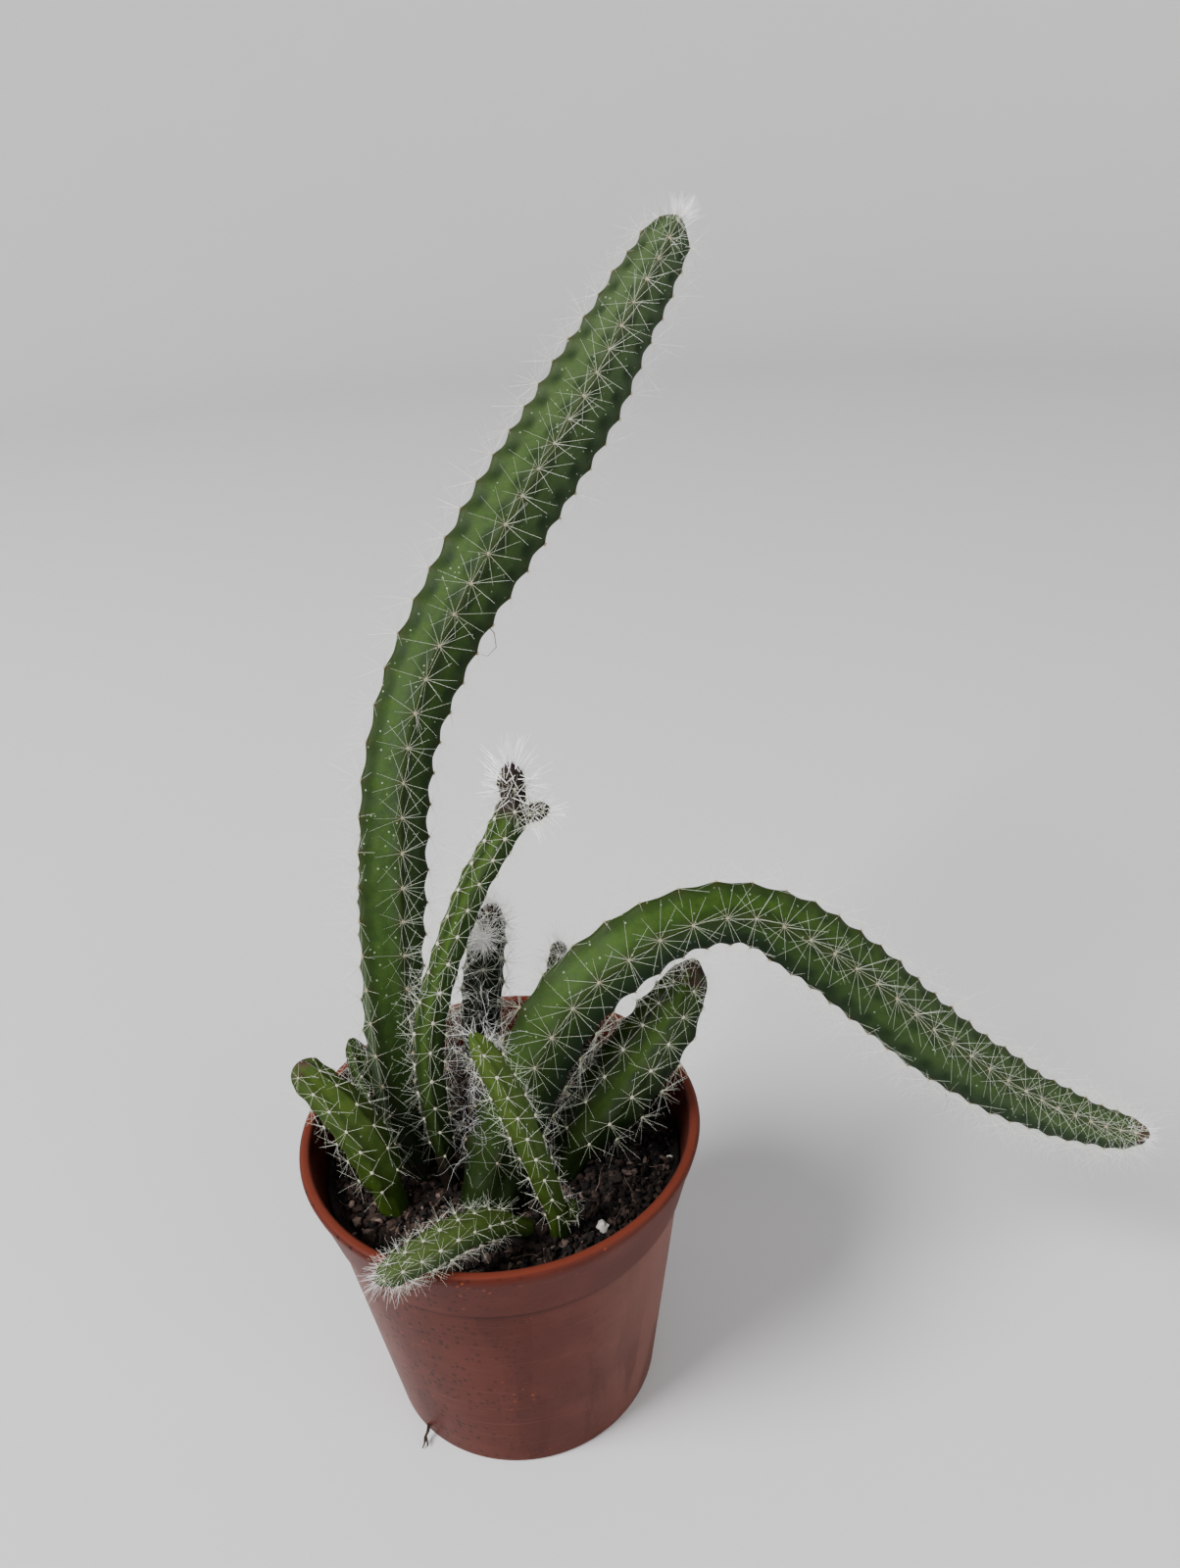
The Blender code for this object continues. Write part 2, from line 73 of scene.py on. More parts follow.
def add_thing(name, data):
    """Put a camera, a lamp or a mesh into the scene."""
    thing = bpy.data.objects.new(name, data)
    bpy.context.scene.collection.objects.link(thing)
    return thing


lens = bpy.data.cameras.new("camera")
lens.lens = FOCAL_LENGTH
lens.sensor_width = FRAME_WIDTH
lens.clip_start = NEAREST_SEEN
camera = add_thing("camera", lens)
tip = Matrix.Rotation(math.radians(90 - CAMERA_DIP), 4, "X")
roll = Matrix.Rotation(math.radians(CAMERA_ROLL), 4, "Z")
camera.matrix_world = Matrix.Translation(CAMERA_PLACE) @ tip @ roll
bpy.context.scene.camera = camera
print("The camera is", round(CAMERA_PLACE.length / MM), "mm from the pot's foot")

# %% [markdown]
# ## Nodes
# A finish is a small graph of nodes, and each output is a number or a colour at every point.
# Wrapped in a small class, outputs can be written into sums and products like plain numbers:
# every sign or method adds the node that does the work, and gives that node's output. A bar
# between two outputs takes the greater of them.

# %% Helpers for shader nodes
BLEND_INPUTS = (0, 6, 7)
BLEND_OUTPUT = 2
RANGE_INPUTS = ("Value", "From Min", "From Max", "To Min", "To Max")
WHITE = (1, 1, 1)


class Value:
    """An output of a node."""

    def __init__(self, tree, socket):
        self.tree = tree
        self.socket = socket

    def work(self, operation, other):
        return add_node(self.tree, "Math", {0: self, 1: other}, operation=operation)

    def __add__(self, other):
        return self.work("ADD", other)

    def __sub__(self, other):
        return self.work("SUBTRACT", other)

    def __mul__(self, other):
        return self.work("MULTIPLY", other)

    def __or__(self, other):
        return self.work("MAXIMUM", other)

    def remap(self, low, high, to_low=0.0, to_high=1.0):
        """Stretch the values from low to high over a new range, and hold them there outside it."""
        return add_node(self.tree, "MapRange", dict(zip(RANGE_INPUTS, (self, low, high, to_low, to_high))))

    def blend(self, low, high):
        """The low colour where this mask is 0 and the high one where it is 1."""
        return mix(self.tree, "MIX", self, low, high)

    def tint(self, other):
        """This colour multiplied by another."""
        return mix(self.tree, "MULTIPLY", 1.0, self, other)


def add_node(tree, kind, inputs, output=0, **options):
    """Add a node, set its options, fill its inputs and give one of its outputs."""
    node = tree.nodes.new("ShaderNode" + kind)
    for option, value in options.items():
        setattr(node, option, value)
    for label, value in inputs.items():
        if isinstance(value, Value):
            tree.links.new(value.socket, node.inputs[label])
        else:
            node.inputs[label].default_value = value
    return Value(tree, node.outputs[output])


def mix(tree, mode, mask, *colours):
    colours = [colour if isinstance(colour, Value) else (*colour, 1.0) for colour in colours]
    inputs = dict(zip(BLEND_INPUTS, [mask] + colours))
    return add_node(tree, "Mix", inputs, BLEND_OUTPUT, data_type="RGBA", blend_type=mode)


def darker(colour, share):
    return [share * part for part in colour]


def layered(colour, *coats):
    """Lay one colour after another over the first, each where its mask is 1."""
    for mask, coat in coats:
        colour = mask.blend(colour, coat)
    return colour


def attribute(tree, name):
    """A number that the mesh stores at every point."""
    return add_node(tree, "Attribute", {}, "Fac", attribute_name=name)


def measure(tree, axis):
    """How far a point is from the middle of the pot's base: right along X, back along Y or up Z."""
    place = add_node(tree, "TexCoord", {}, "Object")
    return add_node(tree, "SeparateXYZ", {0: place}, axis)


def new_material(name, constants, look):
    """A material with plain numbers on its shader, and what look(tree) gives linked to it."""
    material = bpy.data.materials.new(name)
    material.use_nodes = True
    tree = material.node_tree
    shader = tree.nodes["Principled BSDF"]
    for label, value in constants.items():
        shader.inputs[label].default_value = value
    for label, value in look(tree).items():
        tree.links.new(value.socket, shader.inputs[label])
    return material


# %% [markdown]
# ## Shared effects
# Soft patches, small flecks and a fine grain turn up on the pot, the soil and the stems alike.
# Each one is a node group: built once, with named inputs, and then placed in every material
# that needs it with its own numbers. The groups read Object coordinates, which here are metres,
# so a scale of 100 gives features about a centimetre across.

# %% Node groups for patches, flecks and grain
PATCH_DETAIL = 4.0
GRAIN_DETAIL = 5.0
FLECK_CORE = 0.6
FLOAT = "NodeSocketFloat"


def new_group(name, inputs, output, kind, build):
    """A node group with number inputs and the one output that build(place, ...) gives."""
    group = bpy.data.node_groups.new(name, "ShaderNodeTree")
    for label, value in inputs.items():
        group.interface.new_socket(label, in_out="INPUT", socket_type=FLOAT).default_value = value
    group.interface.new_socket(output, in_out="OUTPUT", socket_type=kind)
    given = group.nodes.new("NodeGroupInput").outputs
    place = add_node(group, "TexCoord", {}, "Object")
    result = build(place, *[Value(group, given[label]) for label in inputs])
    group.links.new(result.socket, group.nodes.new("NodeGroupOutput").inputs[output])
    return group


def patches(place, scale, softness):
    """Soft patches with an uneven edge."""
    cloud = add_node(place.tree, "TexNoise", {"Vector": place, "Scale": scale, "Detail": PATCH_DETAIL})
    half = softness * 0.5
    return cloud.remap(half * -1.0 + 0.5, half + 0.5)


def flecks(place, scale, share, radius):
    """Small round flecks, in only a share of the cells that could hold one."""
    tree = place.tree
    cells = add_node(tree, "TexVoronoi", {"Vector": place, "Scale": scale}, "Distance")
    draw = add_node(tree, "SeparateColor", {0: Value(tree, cells.socket.node.outputs["Color"])})
    return draw.work("LESS_THAN", share) * cells.remap(radius, radius * FLECK_CORE)


def grain(place, scale, depth):
    """A fine uneven surface, as a normal."""
    cloud = add_node(place.tree, "TexNoise", {"Vector": place, "Scale": scale, "Detail": GRAIN_DETAIL})
    return add_node(place.tree, "Bump", {"Height": cloud, "Distance": depth})


PATCHES = new_group("patches", {"Scale": 100, "Softness": 0.3}, "Mask", FLOAT, patches)
FLECKS = new_group("flecks", {"Scale": 800, "Share": 0.1, "Radius": 0.25}, "Mask", FLOAT, flecks)
GRAIN = new_group("grain", {"Scale": 1500, "Depth": 0.0001}, "Normal", "NodeSocketVector", grain)


def use_group(tree, group, *numbers):
    """Place a group, with its inputs' numbers in their order."""
    return add_node(tree, "Group", dict(enumerate(numbers)), node_tree=group)


print("Node groups:", [group.name for group in bpy.data.node_groups])

# %% [markdown]
# ## Floor
# The plant stands on a plain pale floor that curves up into a wall far away, all the way round,
# so that no edge or horizon shows from any side. It could be a bent sheet, but a profile spun
# round the plant looks the same from every side, and the pot will be made in the same way.

# %% Floor
FLOOR_RADIUS = 1.7
SWEEP_RADIUS = 0.8
WALL_HEIGHT = 2.0
SWEEP_STEPS = 12
FLOOR_SIDES = 96
FLOOR_COLOUR = (0.61, 0.60, 0.60)
FLOOR_STAIN = 0.96
FLOOR_PATCHES = (6.0, 1.2)


def arc(centre, radius, start, end, steps):
    """Points on a round corner, from one angle to another in degrees."""
    angles = [math.radians(start + (end - start) * step / steps) for step in range(steps + 1)]
    return [(centre[0] + radius * math.cos(angle), centre[1] + radius * math.sin(angle)) for angle in angles]


def spin_profile(profile, sides):
    """Turn a profile of (radius, height) points once round the Z axis."""
    bm = bmesh.new()
    verts = [bm.verts.new((radius, 0, level)) for radius, level in profile]
    for low, high in zip(verts, verts[1:]):
        bm.edges.new((low, high))
    bmesh.ops.spin(bm, geom=bm.verts[:] + bm.edges[:], axis=(0, 0, 1), cent=(0, 0, 0),
                   angle=2 * math.pi, steps=sides, use_merge=True)
    bmesh.ops.remove_doubles(bm, verts=bm.verts[:], dist=WELD)
    bmesh.ops.recalc_face_normals(bm, faces=bm.faces[:])
    return bm


def add_mesh(name, bm, material, smooth=True):
    mesh = bpy.data.meshes.new(name)
    bm.to_mesh(mesh)
    bm.free()
    if smooth:
        mesh.shade_smooth()
    mesh.materials.append(material)
    return add_thing(name, mesh)


def floor_look(tree):
    stain = darker(FLOOR_COLOUR, FLOOR_STAIN)
    return {"Base Color": use_group(tree, PATCHES, *FLOOR_PATCHES).blend(stain, FLOOR_COLOUR)}


profile = [(0, 0)] + arc((FLOOR_RADIUS, SWEEP_RADIUS), SWEEP_RADIUS, -90, 0, SWEEP_STEPS)
bm = spin_profile(profile + [(FLOOR_RADIUS + SWEEP_RADIUS, WALL_HEIGHT)], FLOOR_SIDES)
if min(bm.faces, key=lambda face: face.calc_center_median().length).normal.z < 0:
    bmesh.ops.reverse_faces(bm, faces=bm.faces[:])
floor = add_mesh("floor", bm, new_material("pale_floor", {"Roughness": 0.7}, floor_look))
print("The floor is flat to", FLOOR_RADIUS, "m")

# %% [markdown]
# ## Light
# Daylight comes from high on the left through one large soft lamp. A weaker one fills the
# shadows from the right, and the pale sky fills the rest.

# %% Lights
SKY_COLOUR = (0.92, 0.94, 1.0, 1.0)
SKY_STRENGTH = 0.30
LOOK_AT = Vector((0.02, 0.02, 0.14))
# Each lamp: its place, the width of its disc in metres, and its power.
LAMPS = {
    "key_lamp": (Vector((-1.70, -0.95, 2.05)), 1.3, 140.0),
    "fill_lamp": (Vector((1.3, -1.2, 0.9)), 1.4, 20.0),
}
sky = bpy.data.worlds.new("sky")
sky.use_nodes = True
sky.node_tree.nodes["Background"].inputs["Color"].default_value = SKY_COLOUR
sky.node_tree.nodes["Background"].inputs["Strength"].default_value = SKY_STRENGTH
bpy.context.scene.world = sky
for name, (place, size, power) in LAMPS.items():
    light = bpy.data.lights.new(name, "AREA")
    light.shape = "DISK"
    light.size = size
    light.energy = power
    lamp = add_thing(name, light)
    lamp.location = place
    lamp.rotation_euler = (LOOK_AT - place).to_track_quat("-Z", "Y").to_euler()
print("Lamps:", list(LAMPS))

# %% [markdown]
# ## Pieces
# Everything that belongs to the plant is a piece. Its place is in its mesh, it is given its
# finish, and it rides on the model's only body.

# %% Helper for pieces
def add_piece(name, bm, material, slot, replaced=None, smooth=True):
    piece = add_mesh(name, bm, material, smooth)
    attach(piece, "root")
    if replaced:
        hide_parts(replaced)
    piece.data.calc_loop_triangles()
    print(name, "has", len(piece.data.loop_triangles), "triangles")
    return piece


# %% [markdown]
# ## The pot's plastic
# The pot is thin injection-moulded plastic in a terracotta red. The lip is clean and more
# orange, painted lighter on top where the light falls, and below it a film of dust has dulled
# the red, most at the right. Both sides are painted paler as a sheen, with dust at the right.
# There are dark specks of dirt at the left, damp marks, orange nicks, and fine scratches that
# run round the wall where pots were nested. A painted shadow lies under the band's step, and
# the inside of the wall is painted dark, for dirt and shade. Dust is matt and plastic is not,
# so its mask also drives the roughness. Each finish is laid over the last, the way that dirt
# builds up.

# %% Pot material
CLEAN_LIT_LIP_COLOUR = (0.112, 0.024, 0.014)
BODY_COLOUR = (0.064, 0.0125, 0.0080)
DAMP_COLOUR = (0.034, 0.0060, 0.0040)
DUST_COLOUR = (0.118, 0.048, 0.037)
PALE_DUST_AND_SHEEN = (0.200, 0.098, 0.080)
# The dark colour serves real specks of dirt, and the painted shade under the band's step and inside the wall.
DIRT_AND_SHADE_COLOUR = (0.0150, 0.0040, 0.0022)
NICK_COLOUR = (0.260, 0.060, 0.022)
pot_low, pot_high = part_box("pot")
POT_HEIGHT = pot_high.z
LIP_DEPTH = 3.5 * MM
LIP_EDGE = 0.35 * MM
LIP_FADE = 0.3 * MM
BAND_DEPTH = 18.2 * MM
SHOULDER = POT_HEIGHT - BAND_DEPTH
BAND_FADE = 1.5 * MM
CREASE_WIDTH = 1.7 * MM
CREASE_SHADE = 0.55
CREASE_DROP = 1.1 * MM
# Patches have a scale and a softness, flecks a scale, a share and a radius, and grain a scale
# and a depth. Lines have a stretch, a scale and a range. A mask's range along an axis says
# where it starts and ends, and its values there.
DUST_PATCHES = (34.0, 0.7)
DUST_ACROSS = (5 * MM, 36 * MM, 0.22, 1.0)
LEAST_DUST = 0.55
BAND_DUST = 0.4
RIGHT_FLANK = (20 * MM, 46 * MM, 0.0, 0.6)
LEFT_FLANK = (-26 * MM, -46 * MM, 0.0, 0.5)
RUNS = ((1.0, 1.0, 0.12), 105.0, 0.50, 0.54)
RUN_PATCHES = (26.0, 0.3)
RUN_STRENGTH = 0.4
SCRATCHES = ((1.0, 1.0, 40.0), 35.0, 0.60, 0.72)
SCRATCH_STRENGTH = 0.3
LINE_DETAIL = 3.0
DAMP_PATCHES = (66.0, 0.3)
DAMP_STRENGTH = 0.44
DIRT_FLECKS = (670.0, 0.26, 0.52)
DIRT_ACROSS = (10 * MM, -30 * MM, 0.12, 1.0)
DIRT_BACK = (30 * MM, -5 * MM, 0.3, 1.0)
NICK_FLECKS = (850.0, 0.07, 0.42)
NICK_PATCHES = (48.0, 0.3)
NICK_SPREAD = (0.6, 1.0, 0.0, 0.55)
POT_ROUGHNESS = (0.40, 0.58)
LIP_ROUGHNESS = 0.36
POT_GRAIN = (900.0, 0.00003)


def lines(tree, stretch, scale, low, high):
    """A noise squeezed or drawn out along the pot's height, as a mask of lines."""
    place = add_node(tree, "TexCoord", {}, "Object")
    squeezed = add_node(tree, "Mapping", {"Vector": place, "Scale": stretch})
    cloud = add_node(tree, "TexNoise", {"Vector": squeezed, "Scale": scale, "Detail": LINE_DETAIL})
    return cloud.remap(low, high)


def pot_look(tree):
    level = measure(tree, "Z")
    across = measure(tree, "X")
    below = level.remap(SHOULDER, SHOULDER - BAND_FADE)
    lip = level.remap(POT_HEIGHT - LIP_EDGE, POT_HEIGHT - LIP_EDGE + LIP_FADE)
    film = across.remap(*DUST_ACROSS)
    dust = use_group(tree, PATCHES, *DUST_PATCHES) * film | film * LEAST_DUST
    dust *= below.remap(0.0, 1.0, BAND_DUST, 1.0)
    flanks = across.remap(*RIGHT_FLANK) | across.remap(*LEFT_FLANK)
    runs = lines(tree, *RUNS) * below * use_group(tree, PATCHES, *RUN_PATCHES)
    left_front = across.remap(*DIRT_ACROSS) * measure(tree, "Y").remap(*DIRT_BACK)
    spread = use_group(tree, PATCHES, *NICK_PATCHES).remap(*NICK_SPREAD)
    off = (level - (SHOULDER - CREASE_DROP)).work("ABSOLUTE", 0.0)
    colour = layered(
        dust.blend(BODY_COLOUR, DUST_COLOUR),
        (use_group(tree, PATCHES, *DAMP_PATCHES) * DAMP_STRENGTH, DAMP_COLOUR),
        # Painted sheen and light: both sides are laid paler, where grazing reflections and the light fall,
        # with some dust at the right.
        (flanks * below, PALE_DUST_AND_SHEEN),
        (runs * RUN_STRENGTH, DAMP_COLOUR),
        (lines(tree, *SCRATCHES) * SCRATCH_STRENGTH, DUST_COLOUR),
        (use_group(tree, FLECKS, *NICK_FLECKS) * spread, NICK_COLOUR),
        (use_group(tree, FLECKS, *DIRT_FLECKS) * left_front, DIRT_AND_SHADE_COLOUR),
        # Painted shadow: a dark line just under the band's step.
        (off.remap(CREASE_WIDTH, 0.0) * CREASE_SHADE, DIRT_AND_SHADE_COLOUR),
        # Painted shade with some dirt: the inside of the wall is darkened.
        (attribute(tree, "inside"), DIRT_AND_SHADE_COLOUR),
        # Painted light: the lip's top is clean plastic in a more orange red, painted lighter where the light
        # falls on it.
        (lip, CLEAN_LIT_LIP_COLOUR))
    dull = dust.remap(0.0, 1.0, *POT_ROUGHNESS)
    return {"Base Color": colour, "Roughness": lip.remap(0.0, 1.0, dull, LIP_ROUGHNESS),
            "Normal": use_group(tree, GRAIN, *POT_GRAIN)}


plastic = new_material("terracotta_plastic", {"Specular IOR Level": 0.06}, pot_look)
print("The pot's plastic has", len(plastic.node_tree.nodes), "nodes")

# %% [markdown]
# ## The pot
# A moulded pot is round, so a profile spun about its axis gives the whole of it in one step.
# The profile follows the outside up from the foot, over the rolled lip and down the inside to
# the floor. The drain holes are cut afterwards with a Boolean.

# %% Pot
LIP_RADIUS = (pot_high.x - pot_low.x) / 2
LIP_WIDTH = 3 * MM
LIP_TAPER = 0.6 * MM
LIP_ROUND = 1.2 * MM
BAND_TOP_RADIUS = LIP_RADIUS - 1.0 * MM
BAND_LOW_RADIUS = LIP_RADIUS - 4.5 * MM
BODY_TOP_RADIUS = LIP_RADIUS - 5.6 * MM
BASE_RADIUS = LIP_RADIUS - 15 * MM
SOFT_EDGE = 0.1 * MM
FOOT_ROUND = 1 * MM
WALL = 1.1 * MM
FLOOR_THICKNESS = 1.6 * MM
CORNER_STEPS = 6
POT_SIDES = 160
POT_SHARP_ANGLE = 32
DRAIN_COUNT = 6
DRAIN_SIDES = 32
DRAIN_RADIUS = 4 * MM
DRAIN_RING_RADIUS = 25 * MM
CUTTER_HEIGHT = 4 * FLOOR_THICKNESS
INSIDE_SHADE = 0.9


def wall_inside(level):
    """The radius of the pot's inner wall at a height above the floor."""
    if level <= SHOULDER:
        return BASE_RADIUS + (BODY_TOP_RADIUS - BASE_RADIUS) * level / SHOULDER - WALL
    low = BODY_TOP_RADIUS - WALL
    return low + (level - SHOULDER) / BAND_DEPTH * (LIP_RADIUS - LIP_WIDTH - low)


def pot_profile():
    lip_low = POT_HEIGHT - LIP_DEPTH
    inner = LIP_RADIUS - LIP_WIDTH
    corner_height = POT_HEIGHT - LIP_ROUND
    return [
        (0, 0),
        *arc((BASE_RADIUS - FOOT_ROUND, FOOT_ROUND), FOOT_ROUND, -90, 0, CORNER_STEPS),
        (BODY_TOP_RADIUS, SHOULDER - 0.4 * MM),
        (BODY_TOP_RADIUS + SOFT_EDGE, SHOULDER),
        (BAND_LOW_RADIUS, SHOULDER + 0.5 * MM),
        (BAND_LOW_RADIUS + SOFT_EDGE, SHOULDER + 1 * MM),
        (BAND_TOP_RADIUS, lip_low - 0.2 * MM),
        (LIP_RADIUS - LIP_TAPER, lip_low),
        *arc((LIP_RADIUS - LIP_ROUND, corner_height), LIP_ROUND, 0, 90, CORNER_STEPS),
        *arc((inner + LIP_ROUND, corner_height), LIP_ROUND, 90, 180, CORNER_STEPS),
        (wall_inside(SHOULDER), SHOULDER),
        (wall_inside(FLOOR_THICKNESS), FLOOR_THICKNESS),
        (0, FLOOR_THICKNESS),
    ]


def pot_mesh():
    """The spun pot, with the inside of its wall marked for dirt and painted shade."""
    bm = spin_profile(pot_profile(), POT_SIDES)
    inside = bm.verts.layers.float.new("inside")
    for vert in bm.verts:
        radius = math.hypot(vert.co.x, vert.co.y)
        if vert.co.z < POT_HEIGHT - LIP_WIDTH and radius < wall_inside(vert.co.z) + WALL / 2:
            vert[inside] = INSIDE_SHADE
    return bm


def drain_cutter():
    bm = bmesh.new()
    for index in range(DRAIN_COUNT):
        angle = 2 * math.pi * index / DRAIN_COUNT
        place = Vector((math.cos(angle), math.sin(angle), 0)) * DRAIN_RING_RADIUS
        bmesh.ops.create_cone(bm, cap_ends=True, segments=DRAIN_SIDES, radius1=DRAIN_RADIUS,
                              radius2=DRAIN_RADIUS, depth=CUTTER_HEIGHT, matrix=Matrix.Translation(place))
    return bm


def cut_away(piece, cutter):
    """Cut one mesh out of another for good, and remove the cutter."""
    modifier = piece.modifiers.new("cut", "BOOLEAN")
    modifier.operation = "DIFFERENCE"
    modifier.solver = "EXACT"
    modifier.object = cutter
    result = piece.evaluated_get(bpy.context.evaluated_depsgraph_get())
    mesh = bpy.data.meshes.new_from_object(result)
    bm = bmesh.new()
    bm.from_mesh(mesh)
    bmesh.ops.remove_doubles(bm, verts=bm.verts[:], dist=WELD)
    bmesh.ops.dissolve_degenerate(bm, edges=bm.edges[:], dist=WELD)
    bm.to_mesh(mesh)
    bm.free()
    piece.modifiers.clear()
    piece.data = mesh
    bpy.data.objects.remove(cutter, do_unlink=True)


pot = add_piece("nursery_pot", pot_mesh(), plastic, "pot_plastic", "pot")
cut_away(pot, add_mesh("drain_cutter", drain_cutter(), plastic))
pot.data.set_sharp_from_angle(angle=math.radians(POT_SHARP_ANGLE))
print("The pot's lip is", round(2 * LIP_RADIUS / MM, 1), "mm across")

# %% [markdown]
# ## Soil materials
# Potting mix is dark when it is damp, but no two crumbs are alike. Each crumb stores one number,
# its tone, and the material mixes from near-black peat through brown to a dusty grey with it.
# Perlite is a white, slightly glassy grain, and fibres are a dry straw brown.

# %% Soil materials
PEAT_COLOUR = (0.0048, 0.0034, 0.0032)
LOAM_COLOUR = (0.038, 0.023, 0.017)
CHIP_COLOUR = (0.160, 0.108, 0.088)
FIBRE_COLOUR = (0.19, 0.125, 0.10)
PERLITE_COLOUR = (0.62, 0.58, 0.54)
LOAM_TONES = (0.1, 0.75)
CHIP_TONES = (0.76, 1.0)
SOIL_PATCHES = (700.0, 0.7)
SOIL_STAIN = 0.6
SOIL_LIGHT_ACROSS = (-30 * MM, 35 * MM, 1.8, 0.72)
SOIL_GRAIN = (2500.0, 0.0002)
BIT_CONSTANTS = {"Roughness": 0.8}
BIT_PATCHES = (900.0, 0.6)
BIT_GRAIN = (2000.0, 0.0001)


def soil_look(tree):
    tone = attribute(tree, "tone")
    stained = use_group(tree, PATCHES, *SOIL_PATCHES) * SOIL_STAIN
    colour = layered(tone.remap(*LOAM_TONES).blend(PEAT_COLOUR, LOAM_COLOUR),
                     (tone.remap(*CHIP_TONES), CHIP_COLOUR), (stained, PEAT_COLOUR))
    # Painted light and shade: the mix is tinted lighter towards the left and darker towards the right.
    return {"Base Color": colour.tint(measure(tree, "X").remap(*SOIL_LIGHT_ACROSS)),
            "Normal": use_group(tree, GRAIN, *SOIL_GRAIN)}


def mottled(name, constants, shades, patch, fine):
    """A material that is dark and light in soft patches, with a fine grain."""
    return new_material(name, constants, lambda tree: {
        "Base Color": use_group(tree, PATCHES, *patch).blend(*shades),
        "Normal": use_group(tree, GRAIN, *fine)})


def bit_material(name, colour, stain):
    """The material of a loose bit, of one colour with darker stains."""
    return mottled(name, BIT_CONSTANTS, (darker(colour, stain), colour), BIT_PATCHES, BIT_GRAIN)


potting_mix = new_material("potting_mix", {"Roughness": 0.95, "Specular IOR Level": 0.25}, soil_look)
perlite = bit_material("perlite", PERLITE_COLOUR, stain=0.75)
straw = bit_material("soil_fibre", FIBRE_COLOUR, stain=0.5)
print("The soil's materials:", [material.name for material in (potting_mix, perlite, straw)])

# %% [markdown]
# ## The bed of soil
# The bed is a spun solid whose top is pushed up and down by a smooth noise. On its own it would
# look like clay, so later cells strew it with loose crumbs, chips, fibres and white grains.

# %% Bed of soil
SOIL_LEVEL = 76.5 * MM
SOIL_RELIEF = 1.3 * MM
SOIL_LUMP_SIZE = 9 * MM
SOIL_CRUMB_SIZE = 4 * MM
SOIL_CRUMB_SHARE = 0.5
SOIL_EDGE_SHARE = 0.2
SOIL_GAP = 0.3 * MM
SOIL_RINGS = 44
SOIL_SIDES = 120
SOIL_ROUGHNESS = 0.35 * MM
ROUGH_SIZE = 1.3 * MM
BED_TONE = (0.25, 0.3)


def soil_height(x, y):
    """The height of the lumpy top, level where it meets the pot."""
    edge = wall_inside(SOIL_LEVEL) - SOIL_GAP
    fade = (edge - math.hypot(x, y)) / (edge * SOIL_EDGE_SHARE)
    fade = min(1.0, max(0.0, fade))
    lump = noise.noise(Vector((x, y, 0)) / SOIL_LUMP_SIZE)
    crumb = noise.noise(Vector((x, y, SOIL_LEVEL)) / SOIL_CRUMB_SIZE)
    return SOIL_LEVEL + fade * SOIL_RELIEF * (lump + SOIL_CRUMB_SHARE * crumb)


def soil_bed():
    edge = wall_inside(SOIL_LEVEL) - SOIL_GAP
    floor = FLOOR_THICKNESS + SOIL_GAP
    profile = [(0, floor)] + [(wall_inside(level) - SOIL_GAP, level) for level in (floor, SHOULDER)]
    profile += [(edge * ring / SOIL_RINGS, SOIL_LEVEL) for ring in range(SOIL_RINGS, -1, -1)]
    bm = spin_profile(profile, SOIL_SIDES)
    tone = bm.verts.layers.float.new("tone")
    for vert in bm.verts:
        if vert.co.z > SOIL_LEVEL - WELD:
            fine = noise.noise(vert.co / ROUGH_SIZE)
            vert.co.z = soil_height(vert.co.x, vert.co.y) + SOIL_ROUGHNESS * fine
            vert[tone] = BED_TONE[0] + BED_TONE[1] * fine
    return bm


add_piece("soil_bed", soil_bed(), potting_mix, "potting_soil", "soil")
